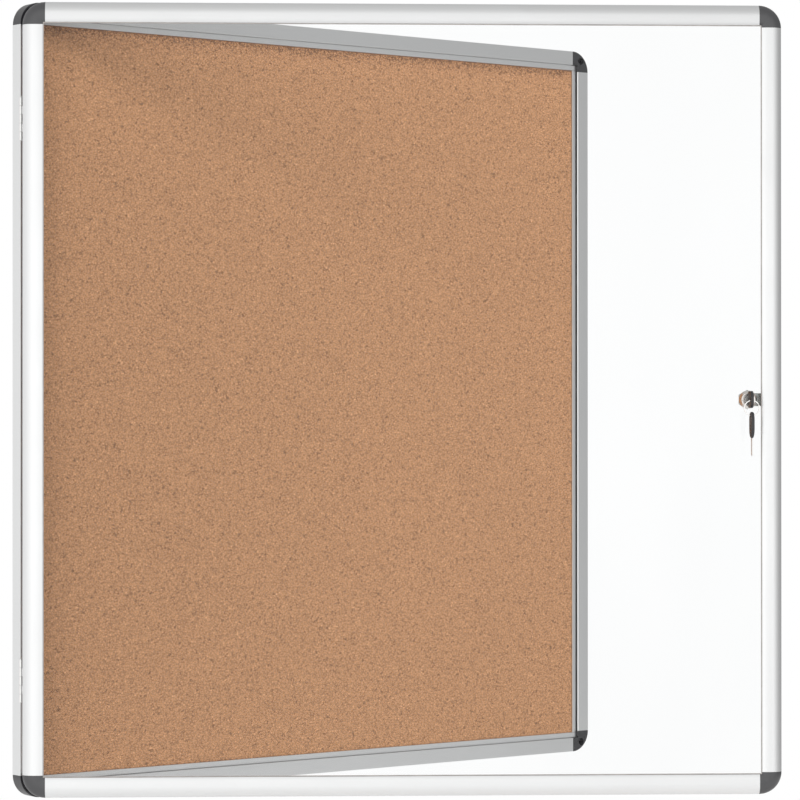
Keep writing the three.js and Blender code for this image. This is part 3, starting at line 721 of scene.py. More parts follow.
def cork():
    """Granules with their own browns, paler towards their middles, some dark and some very pale."""
    finish = Finish("pressed_cork", Specular_IOR_Level=0.25)
    place = finish.place(CORK_STRETCH)
    wobble = finish.add("TexNoise", inputs={"Vector": place, "Scale": WOBBLE, "Detail": 2})
    shift = finish.vector("SCALE", wobble.outputs["Color"], Scale=MM)
    bent = finish.vector("ADD", place, shift)
    granule = finish.add("TexVoronoi", inputs={"Vector": bent, "Scale": GRANULES}).outputs
    number = finish.add("SeparateColor", inputs={"Color": granule["Color"]}).outputs
    crumbs = finish.noise(place, CRUMBS, 3, 0.65)
    middle = finish.spread(granule["Distance"], *PALE_MIDDLES)
    own = finish.math("MULTIPLY", finish.math("ADD", number["Red"], crumbs), GRANULE_SHARE)
    dark = finish.spread(number["Green"], *DARK_FLECKS)
    pale = finish.spread(number["Blue"], *PALE_FLECKS)
    shade = finish.math("ADD", finish.math("ADD", own, middle), finish.math("SUBTRACT", pale, dark))
    # The painted shade of the joint and of the top rail is taken off the shade before the ramp is read.
    finish.tint(CORK_BROWNS, finish.math("SUBTRACT", shade, cork_painted_shade(finish)))
    finish.rough(crumbs, 0.78, 0.95)
    finish.relief(finish.math("ADD", crumbs, middle), 0.0003, 0.5)
    return finish.owner


CORK = cork()
print(CORK.name, len(CORK.node_tree.nodes), "nodes")

# %% [markdown]
# Behind the cork lie a softboard core and a hardboard back. Softboard is felted from coarse
# fibres, so its noise is stretched a little. Hardboard is dense and brown, with fine dark fibres.

# %% Softboard and hardboard
SOFTBOARD_BROWNS = [(0.2, (0.3, 0.21, 0.12)), (0.8, (0.5, 0.38, 0.24))]
HARDBOARD_BROWNS = [(0.2, (0.12, 0.065, 0.035)), (0.8, (0.26, 0.15, 0.085))]


def fibre_board(name, browns, stretch, scale, low, high, depth):
    """Felted fibres: noise stretched across the sheet picks the brown and makes the height."""
    finish = Finish(name, Specular_IOR_Level=0.3)
    fibres = finish.noise(finish.place(stretch), scale, 4, 0.65)
    finish.tint(browns, finish.blend(fibres, finish.noise(finish.place(), 25), 0.8))
    finish.rough(fibres, low, high)
    finish.relief(fibres, depth, 0.4)
    return finish.owner


SOFTBOARD = fibre_board("felted_softboard", SOFTBOARD_BROWNS, (1, 1, 0.4), 700, 0.85, 0.98, 0.0004)
HARDBOARD = fibre_board("brown_hardboard", HARDBOARD_BROWNS, (0.6, 1, 1), 900, 0.5, 0.75, 0.0001)
print(SOFTBOARD.name, HARDBOARD.name)

# %% [markdown]
# The pane is clear acrylic with a coat that cuts its mirroring to a third. Its only unevenness is
# a trace of film left by wiping, which takes a hair more light in upright streaks.

# %% Clear pane
PANE_TINTS = [(0.3, (0.968, 0.976, 0.976)), (0.7, (0.98, 0.986, 0.986))]


def clear_acrylic():
    """Clear plastic whose tint wavers with stretched noise."""
    finish = Finish("clear_acrylic", Transmission_Weight=1.0, IOR=1.4, Roughness=0.0,
                    Specular_Tint=(0.35, 0.35, 0.35, 1))
    finish.tint(PANE_TINTS, finish.noise(finish.place((1, 1, 0.35)), 9, 3))
    return finish.owner


PANE = clear_acrylic()
print(PANE.name)

# %% [markdown]
# The seal is a soft vinyl strip. The hinges are nickel plated, the lock head is chrome, and the
# screws, cam and nut are zinc plated steel. Plated metal shows faint grinding under its plating,
# and zinc has small cloudy crystals.

# %% Seal and plated metals
SEAL_COLOURS = [(0.3, (0.36, 0.335, 0.32)), (0.7, (0.45, 0.42, 0.4))]


def soft_vinyl():
    """Vinyl with clouds of grey and a fine matt grain."""
    finish = Finish("soft_vinyl")
    finish.tint(SEAL_COLOURS, finish.noise(finish.place(), 60, 3))
    grain = finish.noise(finish.place(), 1800)
    finish.rough(grain, 0.5, 0.68)
    finish.relief(grain, 0.00003, 0.3)
    return finish.owner


def plated(name, colour, low, high, scale, stretch=(1, 1, 1), depth=0.000004):
    """Plated metal: stretched noise wavers its roughness between low and high."""
    finish = Finish(name, Base_Color=(*colour, 1), Metallic=1.0)
    grinding = finish.noise(finish.place(stretch), scale, 3, 0.6)
    finish.rough(grinding, low, high)
    finish.relief(grinding, depth, 0.4)
    return finish.owner


SEAL = soft_vinyl()
NICKEL = plated("nickel_plate", (0.985, 0.975, 0.96), 0.34, 0.44, 1400, (1, 1, 0.1))
CHROME = plated("chrome_plate", (0.9, 0.86, 0.82), 0.24, 0.31, 1800, depth=0.0000012)
ZINC = plated("zinc_plate", (0.56, 0.58, 0.56), 0.28, 0.5, 500, depth=0.00001)
KEY_STEEL = plated("key_steel", (0.93, 0.92, 0.9), 0.3, 0.42, 900)
WIRE = plated("bright_wire", (0.9, 0.89, 0.87), 0.1, 0.2, 1200)
print([finish.name for finish in (SEAL, NICKEL, CHROME, ZINC, KEY_STEEL, WIRE)])

# %% [markdown]
# ## Case rails
# Each case rail is one hollow extrusion: a closed chamber against the wall, a flat front band, an
# open channel behind the band that the lock's cam turns into, and a low inner lip that holds the
# panel. The outer front edge is rounded. The outline is drawn once and carried along each side.

# %% Case rail outline
CASE_DEPTH = 18
CORNER_SIZE = 28
BAND, CASE_LIP = 19, 26.2
WALL, REAR_LIP = 1.4, 1.3
WEB_BACK, WEB_FRONT, CHANNEL_FRONT = 13.2, 14.6, 16.6
EDGE_RADIUS, INNER_BEVEL = 0.4, 1
SEAM = 0.2
RAIL_STEPS = 24


def outer_edge(start, end):
    """The case's outer front edge: a small quarter circle."""
    return arc((EDGE_RADIUS, CASE_DEPTH - EDGE_RADIUS), (EDGE_RADIUS, EDGE_RADIUS), start, end, 8)


def case_section(bevel):
    """Straight sides with small radii, the outer edge, and a bevel inside the band if it has one."""
    square = [(CASE_LIP, REAR_LIP), (CASE_LIP, 0), (0, 0)]
    front = outer_edge(180, 90)
    edge = [(BAND - bevel, CASE_DEPTH), (BAND, CASE_DEPTH - bevel)] if bevel else [(BAND, CASE_DEPTH)]
    inner = [(BAND, CHANNEL_FRONT), (WALL, CHANNEL_FRONT), (WALL, WEB_FRONT), (CASE_LIP, WEB_FRONT),
             (CASE_LIP, WEB_BACK), (BAND, WEB_BACK), (BAND, REAR_LIP)]
    radii = [0.25, 0.25, 0.3] + [0] * len(front) + [0.25, 0.15][:len(edge)]
    return softened(np.vstack([square, front, edge, inner]), radii + [0.15, 0.2, 0.2, 0.3, 0.3, 0.2, 0.2])


def case_chamber():
    """The hollow of the rail, with small radii in its corners."""
    far = BAND - WALL
    return softened([(WALL, REAR_LIP), (WALL, WEB_BACK), (far, WEB_BACK), (far, REAR_LIP)], 0.5)


print("case section points", len(case_section(INNER_BEVEL)))

# %% Case rails and their lips
LIP_GAP, LIP_OVERLAP, LIP_EDGE = 0.02, 0.5, 0.1


def rail_half(part, side):
    """Half of a rail's length: the side less a corner piece and a seam at each end."""
    return side_axes(part, side)[3] / 2 - CORNER_SIZE - SEAM


def lip_shells(side, half):
    """The flat inner lip runs on past both ends of the rail, where the corner leaves it room."""
    reach = CORNER_SIZE - (CASE_LIP if side in UPRIGHT else BAND)
    outline = box_outline((CASE_LIP - LIP_GAP, WEB_FRONT - LIP_GAP), 0.25, (BAND + SEAM, WEB_BACK + LIP_GAP))
    ends = [(-half - reach, -half + LIP_OVERLAP), (half - LIP_OVERLAP, half + reach)]
    return [carried([outline], along_side(CASE, side), *stations(*end, 1, LIP_EDGE)) for end in ends]


for side in SIDES:
    half = rail_half(CASE, side)
    outlines = [case_section(INNER_BEVEL if side in UPRIGHT else 0), case_chamber()]
    rail = carried(outlines, along_side(CASE, side), *stations(-half, half, RAIL_STEPS))
    add_piece("case_rail_" + side, [rail] + lip_shells(side, half), ALUMINIUM, "case")

# %% [markdown]
# ## Door rails
# The door rail is a flatter extrusion. A quarter ellipse crowns its outer edge, then the front
# falls gently towards the pane, and that slope gives the soft grey line along the rail's inner
# edge in the photograph. Behind the front lie a groove for pane and seal, and a chamber.

# %% Door rail outline
DOOR_DEPTH, DOOR_LIP = 15, 25.4
CROWN, SIDE_FLAT = 14, 4
FRONT_FALL = 1.0
GROOVE_BACK, GROOVE_FRONT = 9.5, 13.6


def door_section():
    """Back, bevelled edge, short side, quarter ellipse, falling front, groove and rear lip.

    From the crown inward, the front falls with the cube of the way gone.
    """
    crown = arc((CROWN, SIDE_FLAT), (CROWN, DOOR_DEPTH - SIDE_FLAT), 180, 90, 24)
    u = np.linspace(CROWN, DOOR_LIP, 9)[1:]
    front = np.stack([u, DOOR_DEPTH - FRONT_FALL * ((u - CROWN) / (DOOR_LIP - CROWN)) ** 3], 1)
    rear = GROOVE_BACK - WALL
    groove = [(DOOR_LIP, GROOVE_FRONT), (BAND, GROOVE_FRONT), (BAND, GROOVE_BACK),
              (DOOR_LIP, GROOVE_BACK), (DOOR_LIP, rear), (BAND, rear)]
    radii = [0.25, 0.4, 0.4] + [0] * (len(crown) + len(front) - 1)
    return softened(np.vstack([[(BAND, 0), (1, 0), (0, 1)], crown, front, groove]),
                    radii + [0.3, 0.2, 0.15, 0.15, 0.25, 0.25, 0.2])


def door_chamber():
    """The crown's ellipse one wall further in, closed by straight sides."""
    crown = arc((CROWN, SIDE_FLAT), (CROWN - WALL, DOOR_DEPTH - SIDE_FLAT - WALL), 180, 90, 12)
    far = BAND - WALL
    points = np.vstack([[(WALL, WALL)], crown, [(far, GROOVE_FRONT), (far, WALL)]])
    return softened(points, [0.4] + [0] * len(crown) + [0.4, 0.4])


for side in SIDES:
    half = rail_half(DOOR, side)
    line = stations(-half, half, RAIL_STEPS)
    rail = carried([door_section(), door_chamber()], along_side(DOOR, side), *line)
    finish = ALUMINIUM if side in UPRIGHT else SOFT_ALUMINIUM
    add_piece("door_rail_" + side, [rail], finish, "door")

# %% [markdown]
# ## Door corners
# A moulded corner carries the rail's outline round a quarter turn. Outside it is a true quarter
# circle, but inside it must end in a square where the two rails' lips meet. So the radius of a
# point depends on how far inward it is drawn: round for small u, square for large u, and a
# steady blend between. Two tenons reach into the rails' chambers.

# %% Door corners
TENON_ROOT, TENON_REACH, TENON_EDGE = CORNER_SIZE - 2, CORNER_SIZE + 25, 0.8
DOOR_TENON = ((4, 1.6), (17.4, 9.54))
ELBOW_STEPS = 48


def round_corner(part, corner, round_to=CORNER_SIZE, square_from=2 * CORNER_SIZE):
    """Turns u, v and an angle into points about the middle of the corner's quarter circle.

    The radius is the corner size less u, times 1 where u is small. Where u is large it is divided
    by the larger of the angle's cosine and sine, which draws a square.
    """
    flat = spot(*corner_axes(part, corner), part["front"])

    def place(u, v, angle):
        """Middle of the quarter circle plus the turned radius, at height v."""
        share = np.clip((u - round_to) / (square_from - round_to), 0, 1)
        square = 1 / np.maximum(np.cos(angle), np.sin(angle))
        radius = (CORNER_SIZE - u) * (1 + share * (square - 1))
        return flat(CORNER_SIZE - radius * np.cos(angle), CORNER_SIZE - radius * np.sin(angle), v)

    return place


def tenon_shells(part, corner, low, high):
    """Two softened bars from inside the corner into the chambers of both rails."""
    origin, first, second = corner_axes(part, corner)
    line = stations(TENON_ROOT, TENON_REACH, 1, TENON_EDGE)
    return [carried([box_outline(high, TENON_EDGE, low)], spot(origin, across, part["front"], along), *line)
            for across, along in ((first, second), (second, first))]


for corner in CORNERS:
    place = round_corner(DOOR, corner, CROWN, BAND)
    elbow = carried([door_section()], place, *stations(0, np.pi / 2, ELBOW_STEPS))
    shells = [elbow] + tenon_shells(DOOR, corner, *DOOR_TENON)
    add_piece("door_corner_" + corner, shells, GREY_PLASTIC, "door")

# %% [markdown]
# ## Case corners
# The case corner is a flat block with the same rounded edge as its rails, a notch that frames
# the panel, and a countersunk hole for a wall screw. Its walls are an outline carried round the
# turn. The front and the back are flat faces cut into triangles around the hole.

# %% Case corner parts
SCREW_INSET = 13
SCREW_RADIUS, SINK_RADIUS = 2.6, 4.8
SINK_FLOOR = CASE_DEPTH - 6
QUARTER = np.linspace(0, np.pi / 2, 33)
CASE_TENON = ((1.6, 1.5), (17.4, 13.0))


def flat_face(loops, place, height):
    """A flat face with holes, cut into triangles: the first loop is its rim, the others holes."""
    u, v = np.concatenate(loops).T
    return place(u, v, np.full(len(u), float(height))), triangles(loops).tolist()


def wall_strip(line, place, low, high):
    """An upright wall on a line of points, from one height to another."""
    return sheet(place, *np.array(line, float).T, np.array([[low], [high]], float))


def bore(profile, place, centre, steps=40):
    """A stepped hole: radius and height along a profile, turned about a centre."""
    radius, height = np.array(profile, float).T[..., None]
    x, y = circle((0, 0), 1.0, steps).T
    return sheet(place, centre[0] + radius * x, centre[1] + radius * y, height, True)


def notch_line(notch):
    """The square notch: from one end of the corner over its inner corner to the other end."""
    return [(CORNER_SIZE, notch), (notch, notch), (notch, CORNER_SIZE)]


def corner_rim(inset_by, notch):
    """A quarter circle from one end of the corner to the other, closed along the square notch."""
    radius = CORNER_SIZE - inset_by
    round_part = CORNER_SIZE - radius * np.stack([np.cos(QUARTER), np.sin(QUARTER)], 1)
    return np.vstack([round_part, notch_line(notch)])


# %% Case corners
def case_corner_shells(corner):
    """Outer skin, front and back around the screw hole, notch walls, both ends, the stepped hole."""
    flat = spot(*corner_axes(CASE, corner), CASE["front"])
    centre = (SCREW_INSET, SCREW_INSET)
    outside = np.vstack([outer_edge(90, 180), [(EDGE_RADIUS, 0)]])
    end = np.vstack([outside, [(CASE_LIP, 0), (CASE_LIP, REAR_LIP), (BAND, REAR_LIP), (BAND, CASE_DEPTH)]])
    inner, outer = notch_line(CASE_LIP), notch_line(BAND)
    hole = [(SINK_RADIUS, CASE_DEPTH), (SINK_RADIUS, SINK_FLOOR), (SCREW_RADIUS, SINK_FLOOR),
            (SCREW_RADIUS, 0)]
    return [
        sheet(round_corner(CASE, corner), *outside.T, QUARTER[:, None]),
        flat_face([corner_rim(EDGE_RADIUS, BAND), circle(centre, SINK_RADIUS)], flat, CASE_DEPTH),
        flat_face([corner_rim(EDGE_RADIUS, CASE_LIP), circle(centre, SCREW_RADIUS)], flat, 0),
        flat_face([np.array([inner[2], *outer[::-1], inner[0], inner[1]])], flat, REAR_LIP),
        wall_strip(outer, flat, REAR_LIP, CASE_DEPTH),
        wall_strip(inner, flat, 0, REAR_LIP),
        flat_face([end], lambda u, v, far: flat(u, far, v), CORNER_SIZE),
        flat_face([end], lambda u, v, far: flat(far, u, v), CORNER_SIZE),
        bore(hole, flat, centre),
    ]


for corner in CORNERS:
    shells = case_corner_shells(corner) + tenon_shells(CASE, corner, *CASE_TENON)
    # The case corners take the darker copy of the plastic, which paints shade on them.
    add_piece("case_corner_" + corner, shells, CASE_SHADED_PLASTIC, "case")

# %% [markdown]
# ## Seals
# A soft strip lies in front of the pane in each rail's groove. Its tongue is hidden, and its
# rounded bead shows as a thin grey line around the glass.

# %% Glazing seals
SEAL_EDGE, SEAL_BACK = 25.6, 13.0
SEAL_TONGUE, SEAL_TONGUE_WIDTH = 0.4, 5.4
BEAD_WIDTH, BEAD_HEIGHT = 1.1, 1.4
SEAL_STEPS, SEAL_ROUNDING = 12, 0.15


def seal_section():
    """A flat tongue that ends in a bead with a rounded top."""
    near, far = SEAL_EDGE - SEAL_TONGUE_WIDTH, SEAL_EDGE + BEAD_WIDTH
    tongue, top = SEAL_BACK + SEAL_TONGUE, SEAL_BACK + BEAD_HEIGHT
    return softened([(near, SEAL_BACK), (far, SEAL_BACK), (far, top), (SEAL_EDGE, top),
                     (SEAL_EDGE, tongue), (near, tongue)], [0.1, 0.3, 0.7, 0.6, 0.2, 0.1], 4)


for side in SIDES:
    half = side_axes(DOOR, side)[3] / 2 - SEAL_EDGE - (BEAD_WIDTH + SEAM if side in UPRIGHT else 0)
    line = stations(-half, half, SEAL_STEPS, SEAL_ROUNDING)
    strip = carried([seal_section()], along_side(DOOR, side), *line)
    add_piece("glazing_seal_" + side, [strip], SEAL, "door")

# %% [markdown]
# ## Hinges
# A butt hinge is two plates whose rolled knuckles take turns on one pin. The case leaf owns the
# first, third and fifth knuckle and the door leaf the two between. A knuckle is a round outline
# with a stub and a bore, carried along the pin. A plate is two flat faces around three
# countersunk holes.

# %% Hinge sizes
HINGE_HEIGHTS = {"upper": 345.0, "lower": -345.0}
HINGE_HALF, KNUCKLES = 26.5, 5
KNUCKLE_RADIUS, KNUCKLE_GAP = 2, 0.6
PIN_RADIUS, PIN_BORE, PIN_CHAMFER = 1.1, 1.25, 0.2
PIN_HEAD_RADIUS, PIN_HEAD_EDGE, PIN_HEAD_HEIGHT = 1.9, 0.4, 1.2
LEAF_NEAR, LEAF_FAR = 2.3, 17
LEAF_LOW, LEAF_HIGH, LEAF_EDGE = 0.3, 1.3, 0.15
STUB_GAP, STUB_REACH, KNUCKLE_EDGE = 0.01, 0.3, 0.25
SCREW_OFFSET = 10
SCREW_HEIGHTS = (-19.0, 0.0, 19.0)
HEAD_RADIUS, HEAD_HEIGHT, SHANK_RADIUS, SCREW_LENGTH = 2.4, 0.9, 1.2, 4.2
LEAVES = {"case": (CASE["right"], -CASE["front"]), "door": (DOOR["right"], DOOR["front"])}


def hinge_place(owner, height):
    """Turns x away from the pin, y into the leaf's own rail and z along the pin into points."""
    return spot(hinge_axis + height * UP, *LEAVES[owner], UP)


# %% Knuckles and plates
def knuckle_shells(owner, height):
    """The owner's knuckles, spaced evenly along the pin: a circle that runs into the leaf's stub."""
    low, high, far = LEAF_LOW + STUB_GAP, LEAF_HIGH - STUB_GAP, LEAF_NEAR + STUB_REACH
    start, end = (math.degrees(math.asin(level / KNUCKLE_RADIUS)) for level in (high, low))
    roll = arc((0, 0), (KNUCKLE_RADIUS, KNUCKLE_RADIUS), start, 360 + end, 36)
    outlines = [np.vstack([roll, [(far, low), (far, high)]]), circle((0, 0), PIN_BORE, 24)]
    long = (2 * HINGE_HALF - (KNUCKLES - 1) * KNUCKLE_GAP) / KNUCKLES
    starts = -HINGE_HALF + np.arange(0 if owner == "case" else 1, KNUCKLES, 2) * (long + KNUCKLE_GAP)
    return [carried(outlines, hinge_place(owner, height), *stations(start, start + long, 2, KNUCKLE_EDGE))
            for start in starts]


def plate_shells(owner, height):
    """Rounded rim, back and front faces around the holes, and three countersunk bores."""
    place = hinge_place(owner, height)
    rim = box_outline((LEAF_FAR, HINGE_HALF), [0, 2, 2, 0], (LEAF_NEAR, -HINGE_HALF), 6)

    def flat(x, z, y):
        """The plate's own plane: x and z across it, y through it."""
        return place(x, y, z)

    wide, narrow = HEAD_RADIUS + SEAM, SHANK_RADIUS + SEAM
    centres = [(SCREW_OFFSET, screw) for screw in SCREW_HEIGHTS]
    drawn = inset(rim, LEAF_EDGE)
    levels = np.array([LEAF_LOW, LEAF_LOW + LEAF_EDGE, LEAF_HIGH - LEAF_EDGE, LEAF_HIGH])
    shells = [sheet(flat, *np.moveaxis(np.stack([drawn, rim, rim, drawn]), -1, 0), levels[:, None], True)]
    for level, radius in ((LEAF_LOW, wide), (LEAF_HIGH, narrow)):
        shells.append(flat_face([drawn] + [circle(centre, radius, 32) for centre in centres], flat, level))
    steps = [(wide, LEAF_LOW), (wide, LEAF_LOW + SEAM), (narrow, LEAF_LOW + HEAD_HEIGHT),
             (narrow, LEAF_HIGH)]
    return shells + [bore(steps, flat, centre, 32) for centre in centres]


for label, height in HINGE_HEIGHTS.items():
    for owner in LEAVES:
        shells = knuckle_shells(owner, height) + plate_shells(owner, height)
        add_piece(f"hinge_leaf_{owner}_{label}", shells, NICKEL, owner)

# %% [markdown]
# The pin is turned with a small domed head. The screws are countersunk with a cross recess: the
# head's face is a polar grid, and its height sinks wherever a point lies inside one of two bars.

# %% Pins and screws
RECESS = {"arm": 1.5, "width": 0.32, "depth": 0.55}
RECESS_SIDES = (1.25, 0.9)
FACE_START, HEAD_EDGE, SCREW_CHAMFER, ON_FACE = 0.15, 0.1, 0.3, 0.01
SCREW_PROFILE = [
    (0, 0), *((radius, 0) for radius in np.linspace(FACE_START, HEAD_RADIUS - HEAD_EDGE, 12)),
    (HEAD_RADIUS, HEAD_EDGE), (HEAD_RADIUS, 2 * HEAD_EDGE), (SHANK_RADIUS, HEAD_HEIGHT),
    (SHANK_RADIUS, SCREW_LENGTH - SCREW_CHAMFER), (SHANK_RADIUS - SCREW_CHAMFER, SCREW_LENGTH),
    (0, SCREW_LENGTH),
]


def pin_profile():
    """Chamfered foot, straight pin, and a head whose dome is a quarter ellipse up to the axis."""
    neck = HINGE_HALF + SEAM
    foot = [(0, -HINGE_HALF), (PIN_RADIUS - PIN_CHAMFER, -HINGE_HALF),
            (PIN_RADIUS, -HINGE_HALF + PIN_CHAMFER)]
    rise = PIN_HEAD_HEIGHT - PIN_HEAD_EDGE
    dome = arc((0, neck + PIN_HEAD_EDGE), (PIN_HEAD_RADIUS, rise), 0, 90, 6)
    return np.vstack([foot, [(PIN_RADIUS, neck), (PIN_HEAD_RADIUS, neck)], dome])


def cross_recess(x, y, arm, width, depth):
    """Depth inside two crossed bars, falling to nothing between the sides' inner and outer line."""
    x, y = np.abs(x), np.abs(y)
    across = np.minimum(np.maximum(x / arm, y / width), np.maximum(y / arm, x / width))
    outer, inner = RECESS_SIDES
    return depth * np.clip((outer - across) / (outer - inner), 0, 1)


def screw_place(owner, height):
    """Turns x and z across the head and depth into the rail into points, with the recess sunk in."""
    leaf = hinge_place(owner, height)
    return lambda x, z, depth: leaf(
        SCREW_OFFSET + x, LEAF_LOW + depth + cross_recess(x, z, **RECESS) * (depth < ON_FACE), z
    )


for label, height in HINGE_HEIGHTS.items():
    pin = turned(pin_profile(), hinge_place("case", height), 32)
    add_piece("hinge_pin_" + label, [pin], NICKEL, "case")
for label, height in HINGE_HEIGHTS.items():
    for owner in LEAVES:
        for index, level in enumerate(SCREW_HEIGHTS, 1):
            screw = turned(SCREW_PROFILE, screw_place(owner, height + level), 48)
            add_piece(f"hinge_screw_{owner}_{label}_{index}", [screw], ZINC, owner)

# %% [markdown]
# ## Lock
# The cam lock is a chromed housing with a threaded barrel through the pane, a hex nut behind the
# pane, and a plug that turns the cam. All are drawn about the lock's axis, with v forward from
# the door's back.

# %% Lock housing
lock_axis = np.array(joints["lock_turn"]["pos_m"]) / MM
lock_place = spot(lock_axis, door_right, UP, door_front)
HEAD_BASE, HEAD_RIM, HEAD_FACE = 13.0, 14.8, 20.6
HEAD_OUTER, HEAD_TOP, BARREL, BORE = 11.2, 8.6, 8.0, 5.2
BARREL_END = -4.4
THREAD_PITCH, THREAD_DEPTH, THREAD_ROWS = 1.0, 0.3, 8
THREAD_TOP, THREAD_FOOT = HEAD_BASE - 0.1, BARREL_END + 0.5
BARREL_CHAMFER, BORE_CHAMFER = 0.4, 0.2


def housing_shell():
    """Flange, cone and face of the head, then the barrel whose radius waves as a screw thread.

    The thread takes depth * (1 - cos(2 pi v / pitch + angle)) / 2 off the barrel's radius.
    """
    head = softened([(BORE, HEAD_FACE), (HEAD_TOP, HEAD_FACE), (HEAD_OUTER, HEAD_RIM),
                     (HEAD_OUTER, HEAD_BASE), (BARREL, HEAD_BASE)], [0.3, 1.0, 0.7, 0.2, 0], 6)
    barrel = [(BARREL, v) for v in np.arange(THREAD_TOP, THREAD_FOOT, -THREAD_PITCH / THREAD_ROWS)]
    foot = [(BARREL - BARREL_CHAMFER, BARREL_END), (BORE + BORE_CHAMFER, BARREL_END),
            (BORE, BARREL_END + BORE_CHAMFER)]
    radius, height = np.vstack([head, barrel, foot]).T
    depth = THREAD_DEPTH * np.repeat([0, 1, 0], [len(head), len(barrel), len(foot)])
    return ring_shell(
        lambda angle: radius - depth * (0.5 - 0.5 * np.cos(2 * np.pi * height / THREAD_PITCH + angle)),
        lambda angle: height + 0 * angle, lock_place, 72)


add_piece("lock_housing", [housing_shell()], CHROME, "door")

# %% Nut
NUT_RADIUS, NUT_BORE, NUT_BACK, NUT_FRONT = 12, 8.2, 6.1, 9.6
NUT_CHAMFER, NUT_RIM, NUT_DROP, NUT_SLOPE = 0.3, 0.2, 0.1, 0.36


def nut_shell():
    """Six flats: the radius is the flat's distance over the cosine of the angle from its middle."""
    flat = NUT_RADIUS * math.cos(math.pi / 6)

    def hexagon(angle):
        """Distance to the flat's plane along the angle."""
        return flat / np.cos(angle - np.pi / 3 * np.round(angle / (np.pi / 3)))

    def radius(angle):
        """Bore, chamfer start, corner and back again."""
        half = [NUT_BORE, NUT_BORE + NUT_CHAMFER, flat - NUT_RIM, hexagon(angle)]
        return np.concatenate([row + 0 * angle for row in half + half[::-1]], 1)

    def height(angle):
        """The chamfer of the outside drops by a slope times how far a corner stands out."""
        drop = NUT_DROP + NUT_SLOPE * (hexagon(angle) - flat)
        rows = [NUT_BACK + NUT_CHAMFER, NUT_BACK, NUT_BACK, NUT_BACK + drop]
        rows += [NUT_FRONT - drop, NUT_FRONT, NUT_FRONT, NUT_FRONT - NUT_CHAMFER]
        return np.concatenate([row + 0 * angle for row in rows], 1)

    return ring_shell(radius, height, lock_place, 72)


add_piece("lock_nut", [nut_shell()], ZINC, "door")

# %% Plug and cam
PLUG_RADIUS, PLUG_FACE, KEYWAY_FLOOR, SQUARE_END = 5, 20.4, -2.1, -5.9
KEYWAY_HALF, SQUARE_HALF = (1.1, 4.0), 3.0
PLUG_STEP, PLUG_OVERLAP, SQUARE_OVERLAP = 0.02, 0.2, 1
CAM_LENGTH, CAM_HALF, CAM_REAR, CAM_FRONT = 32, 8, -6.1, -4.7


def lock_shell(outlines, low, high, rounding):
    """Outlines across the lock, carried along its axis."""
    return carried(outlines, lock_place, *stations(low, high, 1, rounding))


def cam_outline():
    """A tongue with two soft corners that ends in a half circle about the lock's axis."""
    tongue = softened([(CAM_LENGTH, -CAM_HALF), (CAM_LENGTH, CAM_HALF), (0, CAM_HALF), (0, -CAM_HALF)],
                      [1.5, 1.5, 0, 0], 5)
    end = arc((0, 0), (CAM_HALF, CAM_HALF), 90, 270, 24)
    return without_doubles(np.vstack([tongue[:-1], end[1:]]))


plug_shells = [
    lock_shell([circle((0, 0), PLUG_RADIUS, 48), box_outline(KEYWAY_HALF, 0.15)],
               KEYWAY_FLOOR, PLUG_FACE, 0.15),
    lock_shell([circle((0, 0), PLUG_RADIUS - PLUG_STEP, 48)], BARREL_END, KEYWAY_FLOOR + PLUG_OVERLAP, 0.1),
    lock_shell([box_outline((SQUARE_HALF, SQUARE_HALF), 0.3)], SQUARE_END,
               BARREL_END + SQUARE_OVERLAP, 0.2),
]
cam_hole = box_outline((SQUARE_HALF + SEAM, SQUARE_HALF + SEAM), 0.2)
add_piece("lock_plug", plug_shells, CHROME, "plug")
add_piece("lock_cam", [lock_shell([cam_outline(), cam_hole], CAM_REAR, CAM_FRONT, 0.2)], ZINC, "plug")

# %% Cam screw
CAM_SCREW_TOP, CAM_SCREW_FACE = -6.3, -7.1
CAM_SCREW_RADIUS, CAM_SCREW_SHANK, CAM_SCREW_END = 4.4, 1.5, CAM_SCREW_TOP + 3.6
PAN_FLAT, PAN_EDGE, PAN_SIDE = 3.9, 0.15, 0.4
CAM_RECESS = {"arm": 2.3, "width": 0.45, "depth": 0.55}


def cam_screw_place(x, z, v):
    """The pan head faces backwards, so its recess sinks forwards."""
    return lock_place(x, z, v + cross_recess(x, z, **CAM_RECESS) * (v < CAM_SCREW_FACE + ON_FACE))


cam_screw_profile = [
    (0, CAM_SCREW_FACE), *((radius, CAM_SCREW_FACE) for radius in np.linspace(0.2, PAN_FLAT, 14)),
    (CAM_SCREW_RADIUS - PAN_EDGE, CAM_SCREW_FACE + PAN_EDGE),
    (CAM_SCREW_RADIUS, CAM_SCREW_FACE + PAN_SIDE), (CAM_SCREW_RADIUS, CAM_SCREW_TOP),
    (CAM_SCREW_SHANK, CAM_SCREW_TOP), (CAM_SCREW_SHANK, CAM_SCREW_END - SCREW_CHAMFER),
    (CAM_SCREW_SHANK - SCREW_CHAMFER, CAM_SCREW_END), (0, CAM_SCREW_END),
]
add_piece("cam_screw", [turned(cam_screw_profile, cam_screw_place, 64)], ZINC, "plug")

# %% [markdown]
# ## Keys and ring
# One key is in the lock and its twin hangs from the ring, so both come from the same functions
# with different places. y runs from the shoulder along the blade, x is the key's thickness and z
# its height. The blade's section has a milled groove on each side, and its upper edge follows
# the cuts. The bow is its outline carried through its thickness with generous rounding.

